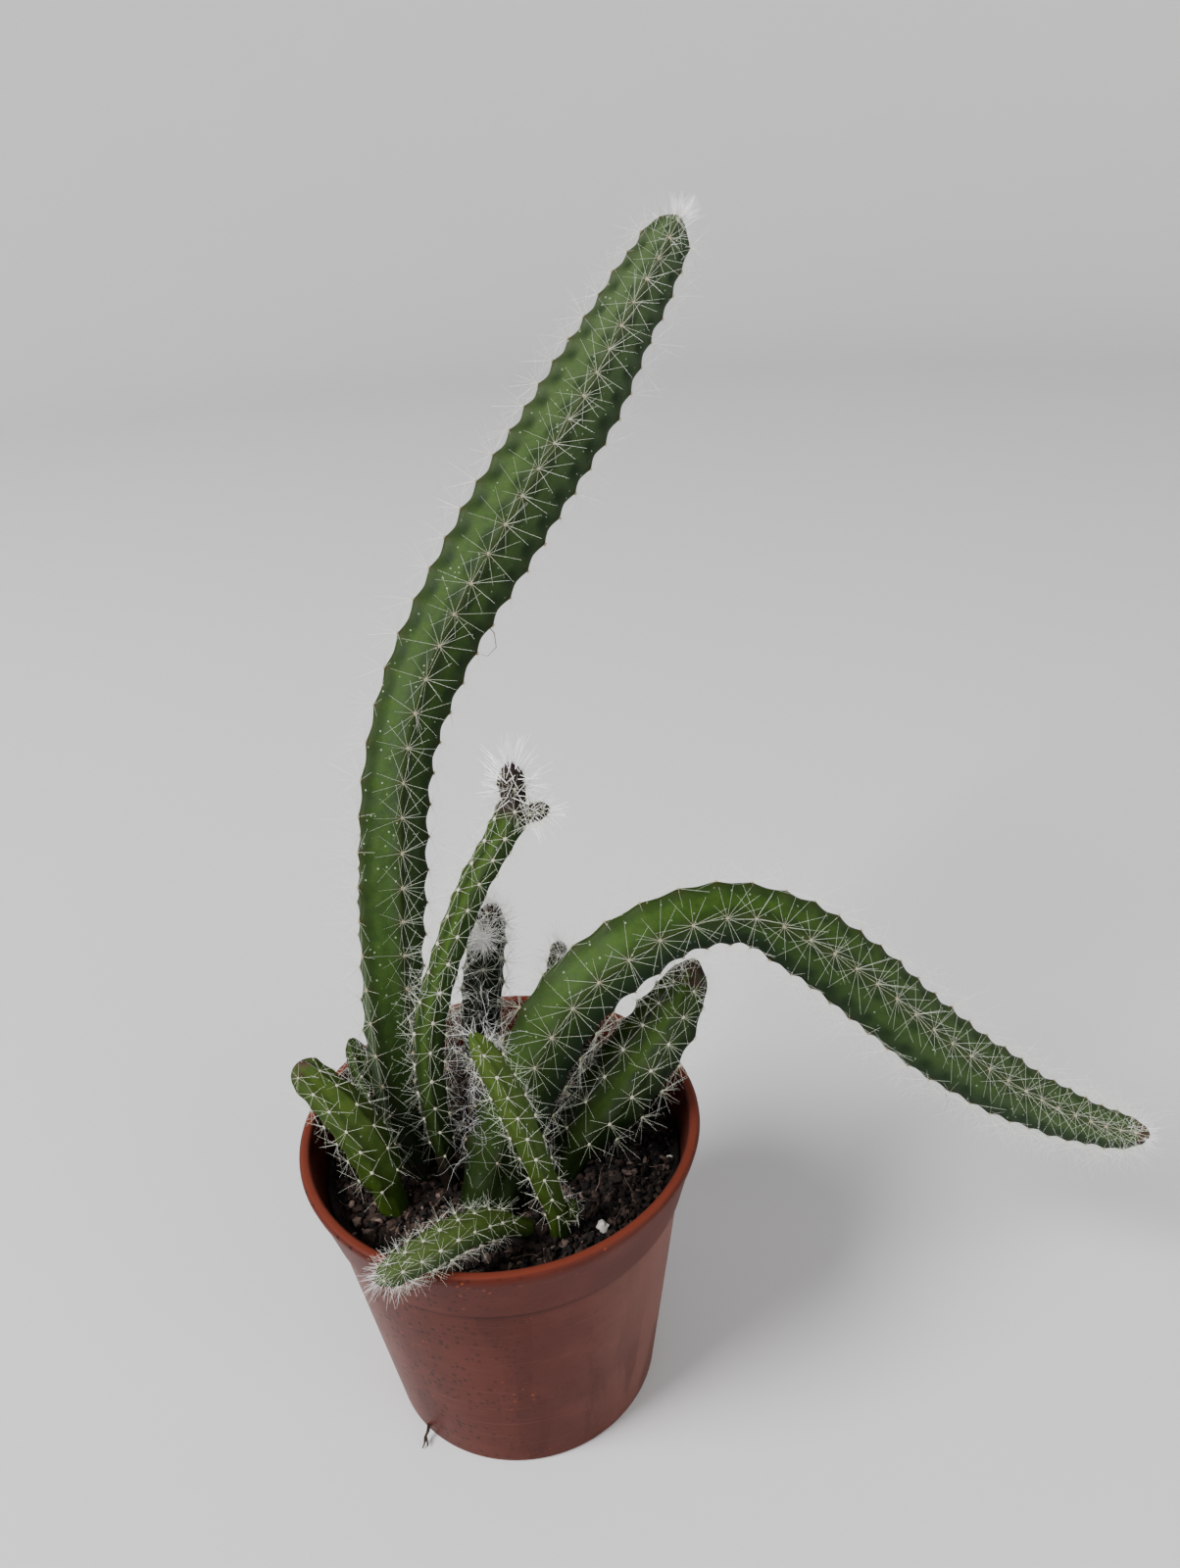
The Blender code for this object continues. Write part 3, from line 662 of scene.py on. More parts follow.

# %% [markdown]
# ## Stems, measured along their routes
# A stem is described by a short route: points in millimetres, each with the width
# across the ribs there. A smooth curve is drawn through the points, and a frame (along, front,
# side) is carried along it without twisting. Everything else, such as ribs, bumps and spines, is
# then placed by a distance along the stem and an angle round it.

# %% Routes of the stems
# Pitch: the distance between cushions on a rib, from foot to tip. Turn: the first rib's angle from
# the front, in degrees, at even steps from foot to tip. Slot: the model's material, if it isn't
# the one named like the finish. Fresh: how light the skin is, low down and at the tip. Bloom: how
# waxy the tip is. Shade: how dark the side away from the window is. Blunt: the tip's length as a
# share of its width. Cushion: the wool's radius. Spines: how many lie round a cushion, how many
# stand out of it, their length and radius. Crown: how many crowd the tip, their length and radius.
# Dry and brown: stretches of corky or brown skin, from and to above the soil, and how much.
# Lengths are in millimetres, and the usual values hold where a stem gives none of its own.
USUAL = dict(turn=(0,), finish="mature", wool="cream", fresh=(0.0, 0.0), bloom=0.0, shade=0.7, blunt=0.9,
             dry=[], brown=[], planted=True)
PLANS = {
    "stem_tall": dict(
        ribs=5, pitch=(7.6, 9.4, 7.4), turn=(68, 30, 16, 13, 13), wool="tan", fresh=(0.0, 0.3), bloom=0.6,
        shade=0.45, spines=(11, 2, 9.8, 0.028), cushion=0.42, crown=(70, 5.0, 0.04), dry=[(-5, 2, 0.5)],
        route=[(-23, -3, 79, 11.5), (-25.5, 1, 96, 12), (-25.5, 9, 119, 15.5), (-24, 24, 148, 18),
               (-20, 41, 176, 18), (-9, 58, 199, 20), (11.5, 80, 225.5, 23), (31, 101, 248, 23),
               (48.8, 119, 272, 18), (58.6, 129, 285, 14.6), (64.5, 135, 294, 10.4)]),
    "stem_slim": dict(
        ribs=6, pitch=(8.6, 8, 5.6), turn=(10,), fresh=(0.25, 0.3), spines=(8, 1, 6.6, 0.028), cushion=0.42,
        crown=(130, 7.4, 0.10), dry=[(-5, 10, 0.6)], brown=[(105, 130, 1.0)],
        route=[(-13.6, -10.8, 79, 5.6), (-14.2, -11.2, 95, 6.9), (-14.6, -11, 111, 8.2),
               (-13.2, -9, 127, 8.8), (-7.5, -5, 144, 8.1), (0, -1, 160, 8), (6, 2, 169, 8),
               (10, 3.6, 175.6, 8.8), (11, 5, 180, 7), (11.2, 5.8, 184.5, 7.6), (11.4, 6.4, 189, 6.6)]),
    "stem_back": dict(
        ribs=7, pitch=(8, 7.2, 5.6), finish="dark", wool="white", spines=(14, 4, 6.8, 0.040), cushion=0.5,
        crown=(260, 5.5, 0.06), dry=[(-5, 4, 0.6), (50, 60, 0.6)],
        route=[(-7, 29, 79, 7), (-6.4, 30.5, 92, 11.2), (-4.6, 32.5, 106, 12), (-2.2, 35, 119, 10.8),
               (0.8, 37, 131, 7)]),
    "stem_bud": dict(
        ribs=6, pitch=(8, 7, 5.6), finish="dark", wool="white", fresh=(0.2, 0.3), spines=(9, 3, 5.6, 0.036),
        cushion=0.4, crown=(90, 6.5, 0.045), brown=[(36, 50, 0.6)],
        route=[(13, 35, 79, 5.6), (14.4, 34.6, 92, 7.6), (16.4, 34.2, 106, 8), (18, 34, 119, 5.6)]),
    "stem_arching": dict(
        ribs=5, pitch=(9.4, 8.8, 7.5, 7.2, 4.6), turn=(-8, -2, 2, -8, -8), wool="tan", fresh=(0.22, 0.05),
        bloom=0.37, shade=1.0, spines=(12, 2, 10.2, 0.025), cushion=0.36, crown=(110, 3.6, 0.04),
        dry=[(238, 250, 0.6)], brown=[(244, 256, 0.6)],
        route=[(-1.4, -16.6, 79, 18), (1.8, -13.2, 91, 18), (9, -8.4, 108.5, 18), (20.5, -3.6, 127, 18.4),
               (34, 0, 138, 18), (50, 4, 144.1, 15.7), (66, 8, 142, 15.2), (81, 9, 132, 18.4),
               (97, 9, 116.6, 19.6), (113, 7.6, 100, 19.2), (130, 6, 86, 17.4), (147, 4.4, 75, 14),
               (163, 2.6, 68, 10.6), (175, 0, 66.6, 6.6)]),
    "stem_stout": dict(
        ribs=7, pitch=(8.6, 8.4, 6.6), turn=(12,), fresh=(0.45, 0.45), spines=(10, 2, 7.6, 0.027),
        cushion=0.42, crown=(34, 3.6, 0.045), dry=[(57, 66, 0.6)],
        route=[(17, -7.4, 79, 11.6), (22.6, -5, 88, 15.4), (30, -3, 96, 18.4), (37.6, 0.4, 105, 18.8),
               (44.6, 4, 113, 17.2), (50.2, 7.6, 121, 12.6), (53.4, 10, 127.6, 7.6)]),
    "stem_front": dict(
        ribs=5, pitch=(7.8, 7.2, 5), turn=(14,), finish="young", fresh=(0.1, 0.2), spines=(7, 1, 5.2, 0.024),
        cushion=0.4, crown=(22, 5.0, 0.045),
        route=[(14.6, -30.4, 79, 4.8), (14.2, -31.2, 87, 5.3), (12.6, -32.4, 97, 6.1),
               (10.4, -33, 108, 6.6), (7.6, -33, 119.6, 7.1), (3.4, -32, 132.6, 6.8),
               (-0.6, -30, 140.6, 4.4)]),
    "stem_left": dict(
        ribs=6, pitch=(7.6, 6.6, 5), finish="young", slot="mature_stem", blunt=0.4, spines=(7, 1, 6.2, 0.025),
        cushion=0.4, crown=(9, 3.0, 0.04), dry=[(42, 60, 0.5)], brown=[(47, 60, 0.5)],
        route=[(-28, -17.4, 79, 9), (-29.4, -16.7, 87.4, 11.6), (-32.6, -15.5, 98.5, 12.4),
               (-36.8, -14, 106.6, 12), (-42, -11.8, 112.6, 10.4), (-47.2, -9.6, 118, 8.4)]),
    "stem_left_small": dict(
        ribs=6, pitch=(6.4, 6, 5), slot="young_stem", fresh=(0.3, 0.6), spines=(7, 1, 5.0, 0.024),
        cushion=0.34, crown=(20, 5.0, 0.04),
        route=[(-31.2, 3.8, 79, 6.4), (-32.8, 6.8, 86, 7.8), (-34.9, 9.6, 92.6, 8.2), (-37, 12.2, 99, 7.4),
               (-39.2, 14.8, 105.4, 5.2)]),
    "stem_reclining": dict(
        ribs=7, pitch=(5.2, 4.6, 4), finish="young", fresh=(0.3, 0.5), bloom=0.45, spines=(10, 2, 4.4, 0.021),
        cushion=0.36, crown=(90, 5.0, 0.032),
        route=[(4.6, -30.2, 80, 5.6), (0.4, -34.6, 86.4, 7.4), (-4.2, -39.4, 90.6, 8.8),
               (-9.4, -44.4, 93.2, 9), (-15, -49.2, 93.9, 8.4), (-20.6, -52.6, 93.6, 7.4),
               (-25.6, -55, 92.6, 5.4)]),
    "slim_shoot": dict(
        ribs=6, pitch=(3.4, 3.4), fresh=(0.2, 0.2), spines=(8, 2, 4.4, 0.040), cushion=0.3,
        crown=(75, 5.6, 0.075), brown=[(3, 14, 0.8)], planted=False,
        route=[(9.6, 3.4, 174.6, 3.6), (13.6, 3.2, 176.4, 5.2), (17, 3, 177.4, 5.2),
               (19.8, 2.8, 177.8, 3.6)]),
    "front_shoot": dict(
        ribs=5, pitch=(4.4, 4.4), finish="young", fresh=(0.2, 0.2), spines=(5, 1, 3.8, 0.034), cushion=0.32,
        crown=(12, 2.6, 0.045), planted=False,
        route=[(14.7, -30.6, 80.2, 2.6), (16.6, -30.4, 82, 3.6), (18, -30.2, 85, 3.7), (18.6, -30, 88, 2.6)]),
}
print("Stems and side shoots:", len(PLANS))

# %% [markdown]
# The class below does the measuring. It holds the smooth curve as samples, and reads a place,
# a direction or a width at any distance by interpolating between them. The bumps sit on every
# other step of each rib, and neighbouring ribs take turns, which gives the staggered pattern.

# %% The Stem class
PLUG_DEPTH = 15 * MM
COLLAR = 2.5 * MM
RIB_RISE = 6 * MM
VALLEY = 0.74
DIP = 0.905
BUMP_SHARPNESS = 1.5
TIP_LEAST_WIDTH = 3 * MM
FRONT = (0.0, -1.0, 0.4)
CURVE_SAMPLES = 24


def ease(share):
    share = np.clip(share, 0.0, 1.0)
    return share * share * (3 - 2 * share)


def along_steps(share, values):
    """Read a list of values at even steps from foot to tip."""
    return float(np.interp(share * (len(values) - 1), range(len(values)), values))


def unit(way):
    return way / np.linalg.norm(way)


def square_to(along, way):
    """The part of a direction that is square to the stem's, one long."""
    return unit(way - along * np.dot(way, along))


class Stem:
    """One stem's route, with a frame and a width at any distance along it."""

    def __init__(self, plan):
        points = np.array(plan["route"], float) * MM
        route, widths = points[:, :3], points[:, 3]
        self.plan = plan
        self.ribs = plan["ribs"]
        self.planted = plan["planted"]
        self.soil_at = PLUG_DEPTH if self.planted else 0.0
        self.collar_at = PLUG_DEPTH + COLLAR if self.planted else 0.0
        self.widest = float(widths.max())
        if self.planted:
            lean = unit(route[1] - route[0])
            self.plug_radius = widths[0] * self.crest_share() * (1 + VALLEY) / 2
            route = np.vstack([route[0] - lean * PLUG_DEPTH, route])
            widths = np.concatenate([[widths[0]], widths])
        self.trace(route, widths)
        self.place_rings(np.array(plan["pitch"]) * MM / 2)

    def crest_share(self):
        """The crest's radius as a share of the width that a ribbed section shows."""
        return 0.5 if self.ribs % 2 == 0 else 1 / (1 + math.cos(math.pi / self.ribs))

    def trace(self, route, widths):
        """Draw a smooth curve through the route, with a frame carried along it untwisted."""
        padded = np.vstack([2 * route[0] - route[1], route, 2 * route[-1] - route[-2]])
        points, sizes = [], []
        for index in range(len(route) - 1):
            a, b, c, d = padded[index:index + 4]
            for t in np.arange(CURVE_SAMPLES) / CURVE_SAMPLES:
                curve = 2 * b + (c - a) * t + (2 * a - 5 * b + 4 * c - d) * t**2
                points.append(0.5 * (curve + (3 * b - a - 3 * c + d) * t**3))
                sizes.append(widths[index] + (widths[index + 1] - widths[index]) * ease(t))
        self.points = np.array(points + [route[-1]])
        self.sizes = np.array(sizes + [widths[-1]])
        runs = np.linalg.norm(np.diff(self.points, axis=0), axis=1)
        self.at = np.concatenate([[0], np.cumsum(runs)])
        self.length = float(self.at[-1])
        tangents = np.gradient(self.points, self.at, axis=0)
        self.tangents = tangents / np.linalg.norm(tangents, axis=1)[:, None]
        front = np.array(FRONT)
        carried = []
        for tangent in self.tangents:
            front = square_to(tangent, front)
            carried.append(front)
        self.fronts = np.array(carried)

    def place_rings(self, steps):
        """Two steps to a pitch, spaced as the pitch changes from foot to tip."""
        distances = [0.0]
        while distances[-1] < self.length:
            distances.append(distances[-1] + along_steps(distances[-1] / self.length, steps))
        self.rings = np.array(distances) * self.length / distances[-1]
        numbers = [ring for ring in range(2, len(distances) - 1) if self.rings[ring - 1] > self.collar_at]
        self.bump_rings = [[ring for ring in numbers if ring % 2 == parity] for parity in (0, 1)]

    def read(self, values, distance):
        return np.array([np.interp(distance, self.at, values[:, axis]) for axis in range(3)])

    def frame_at(self, distance):
        """The centre, and the unit directions along the stem, to its front and to its side."""
        along = unit(self.read(self.tangents, distance))
        front = square_to(along, self.read(self.fronts, distance))
        return self.read(self.points, distance), along, front, np.cross(along, front)

    def turned(self, distance):
        """How far the first rib is turned from the front, at a distance, in radians."""
        return math.radians(along_steps(distance / self.length, self.plan["turn"]))

    def end_zone(self):
        return max(self.sizes[-1], TIP_LEAST_WIDTH) * self.plan["blunt"]

    def crest_radius(self, distance):
        """The radius at a rib's crest, rounded off to nothing at the tip."""
        radius = float(np.interp(distance, self.at, self.sizes)) * self.crest_share()
        left = (self.length - distance) / self.end_zone()
        return radius if left >= 1 else radius * math.sqrt(max(0.0, 1 - (1 - left)**2))

    def bump(self, distance, parity):
        """How much of a bump there is on the ribs of one parity, and how far off its middle is."""
        rings = self.bump_rings[parity]
        if not rings:
            return 0.0, 1.0
        ring = min(rings, key=lambda number: abs(self.rings[number] - distance))
        off = distance - self.rings[ring]
        step = self.rings[ring + 1] - self.rings[ring] if off > 0 else self.rings[ring] - self.rings[ring - 1]
        return max(0.0, 1 - abs(off) / step)**BUMP_SHARPNESS, abs(off)

    def plugged(self, distance, radius):
        """A radius, held at the plug's in the soil until the ribs rise out of it."""
        if not self.planted:
            return radius
        risen = float(ease((distance - self.collar_at) / RIB_RISE))
        return self.plug_radius + (radius - self.plug_radius) * risen

    def rib_radius(self, distance, parity):
        """The radius on a rib's crest, bumps included."""
        share = DIP + (1 - DIP) * self.bump(distance, parity)[0]
        return self.plugged(distance, self.crest_radius(distance) * share)

    def cushions(self):
        """Where each cushion of wool sits: its place, and its out, along and across directions."""
        for rib in range(self.ribs):
            for ring in self.bump_rings[rib % 2]:
                distance = self.rings[ring]
                centre, along, front, side = self.frame_at(distance)
                angle = 2 * math.pi * rib / self.ribs + self.turned(distance)
                out = front * math.cos(angle) + side * math.sin(angle)
                place = centre + out * self.rib_radius(distance, rib % 2)
                yield Vector(place), Vector(out), Vector(along), Vector(np.cross(along, out)), distance


stems = {name: Stem({**USUAL, **plan}) for name, plan in PLANS.items()}
for name, stem in stems.items():
    print(name, "is", round((stem.length - stem.soil_at) / MM), "mm long")

# %% [markdown]
# ## Many small shapes
# The plant needs thousands of spines and crumbs. An operator walks over everything its mesh
# already holds, so adding them one by one to a growing mesh gets slower and slower. Gathering
# them in small batches, which are then poured together, keeps the time short.

# %% Helper that gathers small shapes
BATCH = 60


def gather(shapes, add_shape, layer_name):
    """Draw all the shapes first, and then add them to one mesh, a batch at a time."""
    shapes = list(shapes)
    whole = bmesh.new()
    for start in range(0, len(shapes), BATCH):
        batch = bmesh.new()
        layer = batch.verts.layers.float.new(layer_name)
        for shape in shapes[start:start + BATCH]:
            add_shape(batch, layer, *shape)
        bmesh.ops.recalc_face_normals(batch, faces=batch.faces[:])
        mesh = bpy.data.meshes.new("batch")
        batch.to_mesh(mesh)
        batch.free()
        whole.from_mesh(mesh)
        bpy.data.meshes.remove(mesh)
    return whole


# %% [markdown]
# ## Skins
# A skin is a flat grid that is rolled into a tube: one side of the grid runs along the stem, the
# other round it. Round each rib the section falls from a blunt crest to a round valley, and
# along each crest it rises to a small point at every cushion. Numbers are stored at each point
# for the material to read: how near the crest it is, how near a cushion, how corky, light, waxy
# or brown the skin is, how far it faces the window, and how deep it lies between two cushions.

# %% Helper that rolls a skin
SKIN_STEP = 0.9 * MM
LEAST_SIDES_PER_RIB = 10
TIP_STEPS = 9
CREST_ROUNDNESS = 0.20
VALLEY_ROUNDNESS = 0.40
CUSHION_REACH = 1.5 * MM
HOLLOW_REACH = 2.6 * MM
HOLLOW_WIDTH = 1.15
HOLLOW_START = 0.25
HOLLOW_FADE = 0.35
DRY_FADE = 3 * MM
WOBBLE = 0.13 * MM
WOBBLE_SIZE = 7 * MM
LOOSE_START = PLUG_DEPTH - 6 * MM
FRESH_SPAN = (0.3, 0.8)
BLOOM_START = 0.4
SUN_SIDE = np.array((-0.36, -0.04, 0.93))
SUN_TURN = -0.5
SUN_FADE = 0.9


def soften(share, roundness):
    """Round off a corner at 0 and keep 0 and 1 where they are."""
    return (np.sqrt(share**2 + roundness**2) - roundness) / (math.sqrt(1 + roundness**2) - roundness)


def stretch(stem, distance, kind):
    """How corky or how brown the skin is, from the stretches that the plan gives."""
    above = distance - stem.soil_at
    amount = 0.0
    for start, end, most in stem.plan[kind]:
        inside = min(above - start * MM, end * MM - above)
        amount = max(amount, most * float(np.clip(inside / DRY_FADE + 0.5, 0, 1)))
    return amount


def skin_rows(stem):
    """Distances along the stem, closer together where the tip rounds off."""
    start = LOOSE_START if stem.planted else 0.0
    zone = stem.end_zone()
    body = stem.length - zone
    rows = list(np.linspace(start, body, max(2, round((body - start) / SKIN_STEP))))
    return rows + [body + zone * math.sin(math.pi / 2 * step / TIP_STEPS) for step in range(1, TIP_STEPS + 1)]


def skin_row(stem, distance, angles, share, parity):
    """One ring of the skin: its centre, its places, and the numbers stored there."""
    centre, _, front, side = stem.frame_at(distance)
    half = math.pi / stem.ribs
    phi = share * half
    high = np.array([stem.rib_radius(distance, number) for number in (0, 1)])[parity]
    low = stem.plugged(distance, stem.crest_radius(distance) * VALLEY)
    radius = high * low * math.sin(half) / np.maximum(high * np.sin(phi) + low * np.sin(half - phi), WELD**2)
    turned = angles + stem.turned(distance)
    outs = np.outer(np.cos(turned), front) + np.outer(np.sin(turned), side)
    off = np.array([stem.bump(distance, number)[1] for number in (0, 1)])[parity]
    away = np.sqrt(off**2 + (phi * radius)**2)
    dent = (1 - np.exp(-(off / HOLLOW_REACH)**2)) * np.sin(math.pi * np.minimum(1, share * HOLLOW_WIDTH))
    along = distance / stem.length
    waxed = stem.plan["bloom"] * float(ease((along - BLOOM_START) / (1 - BLOOM_START)))
    facing = 1 - stem.plan["shade"] * (1 - ease((outs @ SUN_SIDE - SUN_TURN) / SUN_FADE))
    stored = {
        "crest": 1 - share,
        "cushion": np.exp(-(away / CUSHION_REACH)**2),
        "dry": stretch(stem, distance, "dry"),
        "fresh": float(np.interp(along, FRESH_SPAN, stem.plan["fresh"])),
        "bloom": waxed,
        "brown": stretch(stem, distance, "brown"),
        "sunny": np.maximum(facing, waxed),
        "hollow": dent * float(ease((along - HOLLOW_START) / HOLLOW_FADE)),
    }
    stored = {name: np.broadcast_to(values, len(angles)) for name, values in stored.items()}
    return centre, centre + radius[:, None] * outs, stored


def roll_skin(stem):
    rows = skin_rows(stem)
    per_rib = max(LEAST_SIDES_PER_RIB, 2 * round(math.pi * stem.widest / stem.ribs / SKIN_STEP / 2))
    sides = per_rib * stem.ribs
    angles = np.arange(sides) * 2 * math.pi / sides
    half = math.pi / stem.ribs
    nearest = np.round(angles / (2 * half)).astype(int)
    parity = (nearest % stem.ribs) % 2
    share = np.abs(angles - nearest * 2 * half) / half
    share = 1 - soften(1 - soften(share, CREST_ROUNDNESS), VALLEY_ROUNDNESS)
    rings = [skin_row(stem, distance, angles, share, parity) for distance in rows]
    _, _, stored = rings[0]
    bm = bmesh.new()
    layers = {name: bm.verts.layers.float.new(name) for name in stored}
    bmesh.ops.create_grid(bm, x_segments=len(rows) - 1, y_segments=sides, size=0.5)
    grid = {}
    for vert in bm.verts:
        row = round((vert.co.x + 0.5) * (len(rows) - 1))
        side = round((vert.co.y + 0.5) * sides) % sides
        grid.setdefault((row, side), []).append(vert)
    for (row, side), verts in grid.items():
        centre, places, stored = rings[row]
        place = Vector(places[side])
        wave = noise.noise(place / WOBBLE_SIZE) * WOBBLE
        place += (place - Vector(centre)) / stem.widest * 2 * wave
        for vert in verts:
            vert.co = place
            for name, layer in layers.items():
                vert[layer] = stored[name][side]
    bmesh.ops.remove_doubles(bm, verts=bm.verts[:], dist=WELD)
    bmesh.ops.holes_fill(bm, edges=[edge for edge in bm.edges if edge.is_boundary], sides=0)
    bmesh.ops.recalc_face_normals(bm, faces=bm.faces[:])
    return bm


# %% [markdown]
# ## Skin material
# The skin is waxy and green, with soft lighter and darker patches. The crest's edge is tinged
# brown, more so right at a cushion. Old skin by the soil turns to grey-brown cork, which is
# matt where the green skin is satin. Painted shade darkens the skin towards the crests, in the
# hollows between cushions, low down among the stems by the soil, and on the side that is turned
# from the window. Tiny pale dots are the marks that the skin breathes through.

# %% Skin materials
# The dark colours stand for the stems at the back, painted darker and bluer as shade.
SKIN_COLOURS = {
    "mature": ((0.0050, 0.0150, 0.0028), (0.0150, 0.0390, 0.0040), (0.0480, 0.0950, 0.0110)),
    "young": ((0.0170, 0.0360, 0.0035), (0.0340, 0.0660, 0.0050), (0.0700, 0.1120, 0.0150)),
    "dark": ((0.0070, 0.0150, 0.0075), (0.0140, 0.0270, 0.0110), (0.0300, 0.0430, 0.0190)),
}
BLOOM_COLOUR = (0.066, 0.086, 0.050)
BUD_COLOUR = (0.018, 0.011, 0.008)
EDGE_COLOUR = (0.032, 0.022, 0.009)
CORK_COLOUR = (0.095, 0.064, 0.040)
CORK_SHADE = (0.026, 0.015, 0.010)
DOT_COLOUR = (0.34, 0.42, 0.28)
SHADED_SIDE = (0.26, 0.36, 0.62)
CREST_SHADE = {"mature": 0.5, "young": 0.2, "dark": 0.5}
FOOT_SHADE = {"mature": 0.24, "young": 0.75, "dark": 0.6}
EDGE_STRENGTH = {"mature": 0.22, "young": 0.1, "dark": 0.4}
CUSHION_EDGE = 0.2
EDGE_SHARPNESS = 7.0
CREST_RANGE = (0.30, 0.85)
HOLLOW_SHADE = 0.9
BROAD_PATCHES = (75.0, 0.6)
SMALL_PATCHES = (380.0, 0.6)
SMALL_STRENGTH = 0.45
LEAST_BLOOM = 0.55
DOT_FLECKS = (900.0, 0.09, 0.27)
DOT_STRENGTH = 0.6
WORN_PATCHES = (300.0, 0.5)
WORN_STRENGTH = 1.6
WORN_RANGE = (0.0, 0.5)
SKIN_ROUGHNESS = (0.48, 0.64)
CORK_ROUGHNESS = 0.9
SKIN_GRAIN = (1100.0, 0.00012)
SKIN_CONSTANTS = {"Subsurface Weight": 0.05, "Subsurface Scale": 0.002, "Specular IOR Level": 0.1,
                  "Subsurface Radius": (0.4, 1.0, 0.2)}
SHADE_START = 82 * MM
SKIN_SHADE_TOP = 140 * MM
PAST_THE_POT = (50 * MM, 75 * MM)


def clear_of_soil(tree, top):
    """A mask that is 0 by the soil and 1 from a height up, and over the pot's side."""
    return measure(tree, "Z").remap(SHADE_START, top) | measure(tree, "X").remap(*PAST_THE_POT)


def skin_look(tree, name):
    deep, green, fresh = SKIN_COLOURS[name]
    broad = use_group(tree, PATCHES, *BROAD_PATCHES)
    small = use_group(tree, PATCHES, *SMALL_PATCHES)
    crest = attribute(tree, "crest")
    edge = crest.work("POWER", EDGE_SHARPNESS) * EDGE_STRENGTH[name]
    worn = use_group(tree, PATCHES, *WORN_PATCHES)
    dry = (attribute(tree, "dry") * WORN_STRENGTH - worn).remap(*WORN_RANGE)
    colour = layered(
        broad.blend(deep, green),
        (small * SMALL_STRENGTH + attribute(tree, "fresh"), fresh),
        # Painted shade: the deep green is laid over the skin towards each crest.
        (crest.remap(*CREST_RANGE) * CREST_SHADE[name], deep),
        (attribute(tree, "bloom") * broad.remap(0.0, 1.0, LEAST_BLOOM, 1.0), BLOOM_COLOUR),
        # Painted shade: the deep green in the hollows between cushions.
        (attribute(tree, "hollow") * HOLLOW_SHADE, deep),
        (edge | attribute(tree, "cushion") * (EDGE_STRENGTH[name] + CUSHION_EDGE), EDGE_COLOUR),
        (use_group(tree, FLECKS, *DOT_FLECKS) * DOT_STRENGTH, DOT_COLOUR),
        (dry, worn.blend(CORK_SHADE, CORK_COLOUR)),
        (attribute(tree, "brown"), BUD_COLOUR))
    # Painted shade: the skin is darkened low down by the soil, and made darker and bluer on the side turned
    # from the window.
    foot = clear_of_soil(tree, SKIN_SHADE_TOP).blend([FOOT_SHADE[name]] * 3, WHITE)
    colour = colour.tint(foot).tint(attribute(tree, "sunny").blend(SHADED_SIDE, WHITE))
    waxy = small.remap(0.0, 1.0, *SKIN_ROUGHNESS)
    return {"Base Color": colour, "Roughness": dry.remap(0.0, 1.0, waxy, CORK_ROUGHNESS),
            "Normal": use_group(tree, GRAIN, *SKIN_GRAIN)}


skins = {name: new_material(name + "_skin", SKIN_CONSTANTS, lambda tree: skin_look(tree, name))
         for name in SKIN_COLOURS}
skin_trees = []
for name, stem in stems.items():
    stem.slot = stem.plan.get("slot", stem.plan["finish"] + "_stem")
    bm = roll_skin(stem)
    if stem.planted:
        skin_trees.append(BVHTree.FromBMesh(bm))
    add_piece(name + "_skin", bm, skins[stem.plan["finish"]], stem.slot, name if stem.planted else None)

# %% [markdown]
# ## Spines
# A spine is a thin straight needle, so a three-sided cone is enough: at this size only its
# brightness shows. Most spines lie round their cushion like the rays of a star, close over the
# skin, and a few stand out. Every draw comes from a seeded generator, so each run grows the
# same plant. A ray cast from the root stops a spine that would run into a neighbour.

# %% Spine and wool materials
SPINE_TIP_COLOUR = (0.74, 0.78, 0.66)
SPINE_ROOT_COLOUR = (0.52, 0.55, 0.38)
HAIR_COLOUR = (0.88, 0.86, 0.85)
WEB_COLOUR = (0.17, 0.165, 0.185)
WOOL_COLOURS = {
    "tan": ((0.18, 0.120, 0.065), (0.42, 0.34, 0.21)),
    "cream": ((0.36, 0.35, 0.23), (0.62, 0.61, 0.46)),
    "white": ((0.36, 0.34, 0.29), (0.62, 0.60, 0.55)),
}
SPINE_CONSTANTS = {"Roughness": 0.35, "Coat Weight": 0.1, "Specular IOR Level": 0.6}
WOOL_CONSTANTS = {"Roughness": 0.95, "Sheen Weight": 0.2}
WOOL_PATCHES = (2500.0, 0.6)
WOOL_GRAIN = (5000.0, 0.0002)
ROOT_SPAN = (0.0, 0.5)
SPINE_SHADE_TOP = 124 * MM
SPINE_FOOT_SHADE = 0.25
INNER_STEMS = ("stem_tall", "stem_slim", "stem_arching", "stem_back", "stem_left_small")


def spine_material(name, root, tip, lowest=1.0):
    """A spine's colours from root to tip, with painted shade among the stems by the soil."""
    def look(tree):
        colour = attribute(tree, "reach").remap(*ROOT_SPAN).blend(root, tip)
        return {"Base Color": colour.tint(clear_of_soil(tree, SPINE_SHADE_TOP).blend([lowest] * 3, WHITE))}
    return new_material(name, SPINE_CONSTANTS, look)


pale_spine = spine_material("pale_spine", SPINE_ROOT_COLOUR, SPINE_TIP_COLOUR)
# Painted shade: the spines low among the inner stems are darkened towards the soil.
shaded_spine = spine_material("shaded_spine", SPINE_ROOT_COLOUR, SPINE_TIP_COLOUR, SPINE_FOOT_SHADE)
white_hair = spine_material("white_hair", HAIR_COLOUR, HAIR_COLOUR)
web_hair = spine_material("web_hair", WEB_COLOUR, HAIR_COLOUR)
wools = {name: mottled(name + "_wool", WOOL_CONSTANTS, shades, WOOL_PATCHES, WOOL_GRAIN)
         for name, shades in WOOL_COLOURS.items()}
print("Kinds of wool:", list(wools))

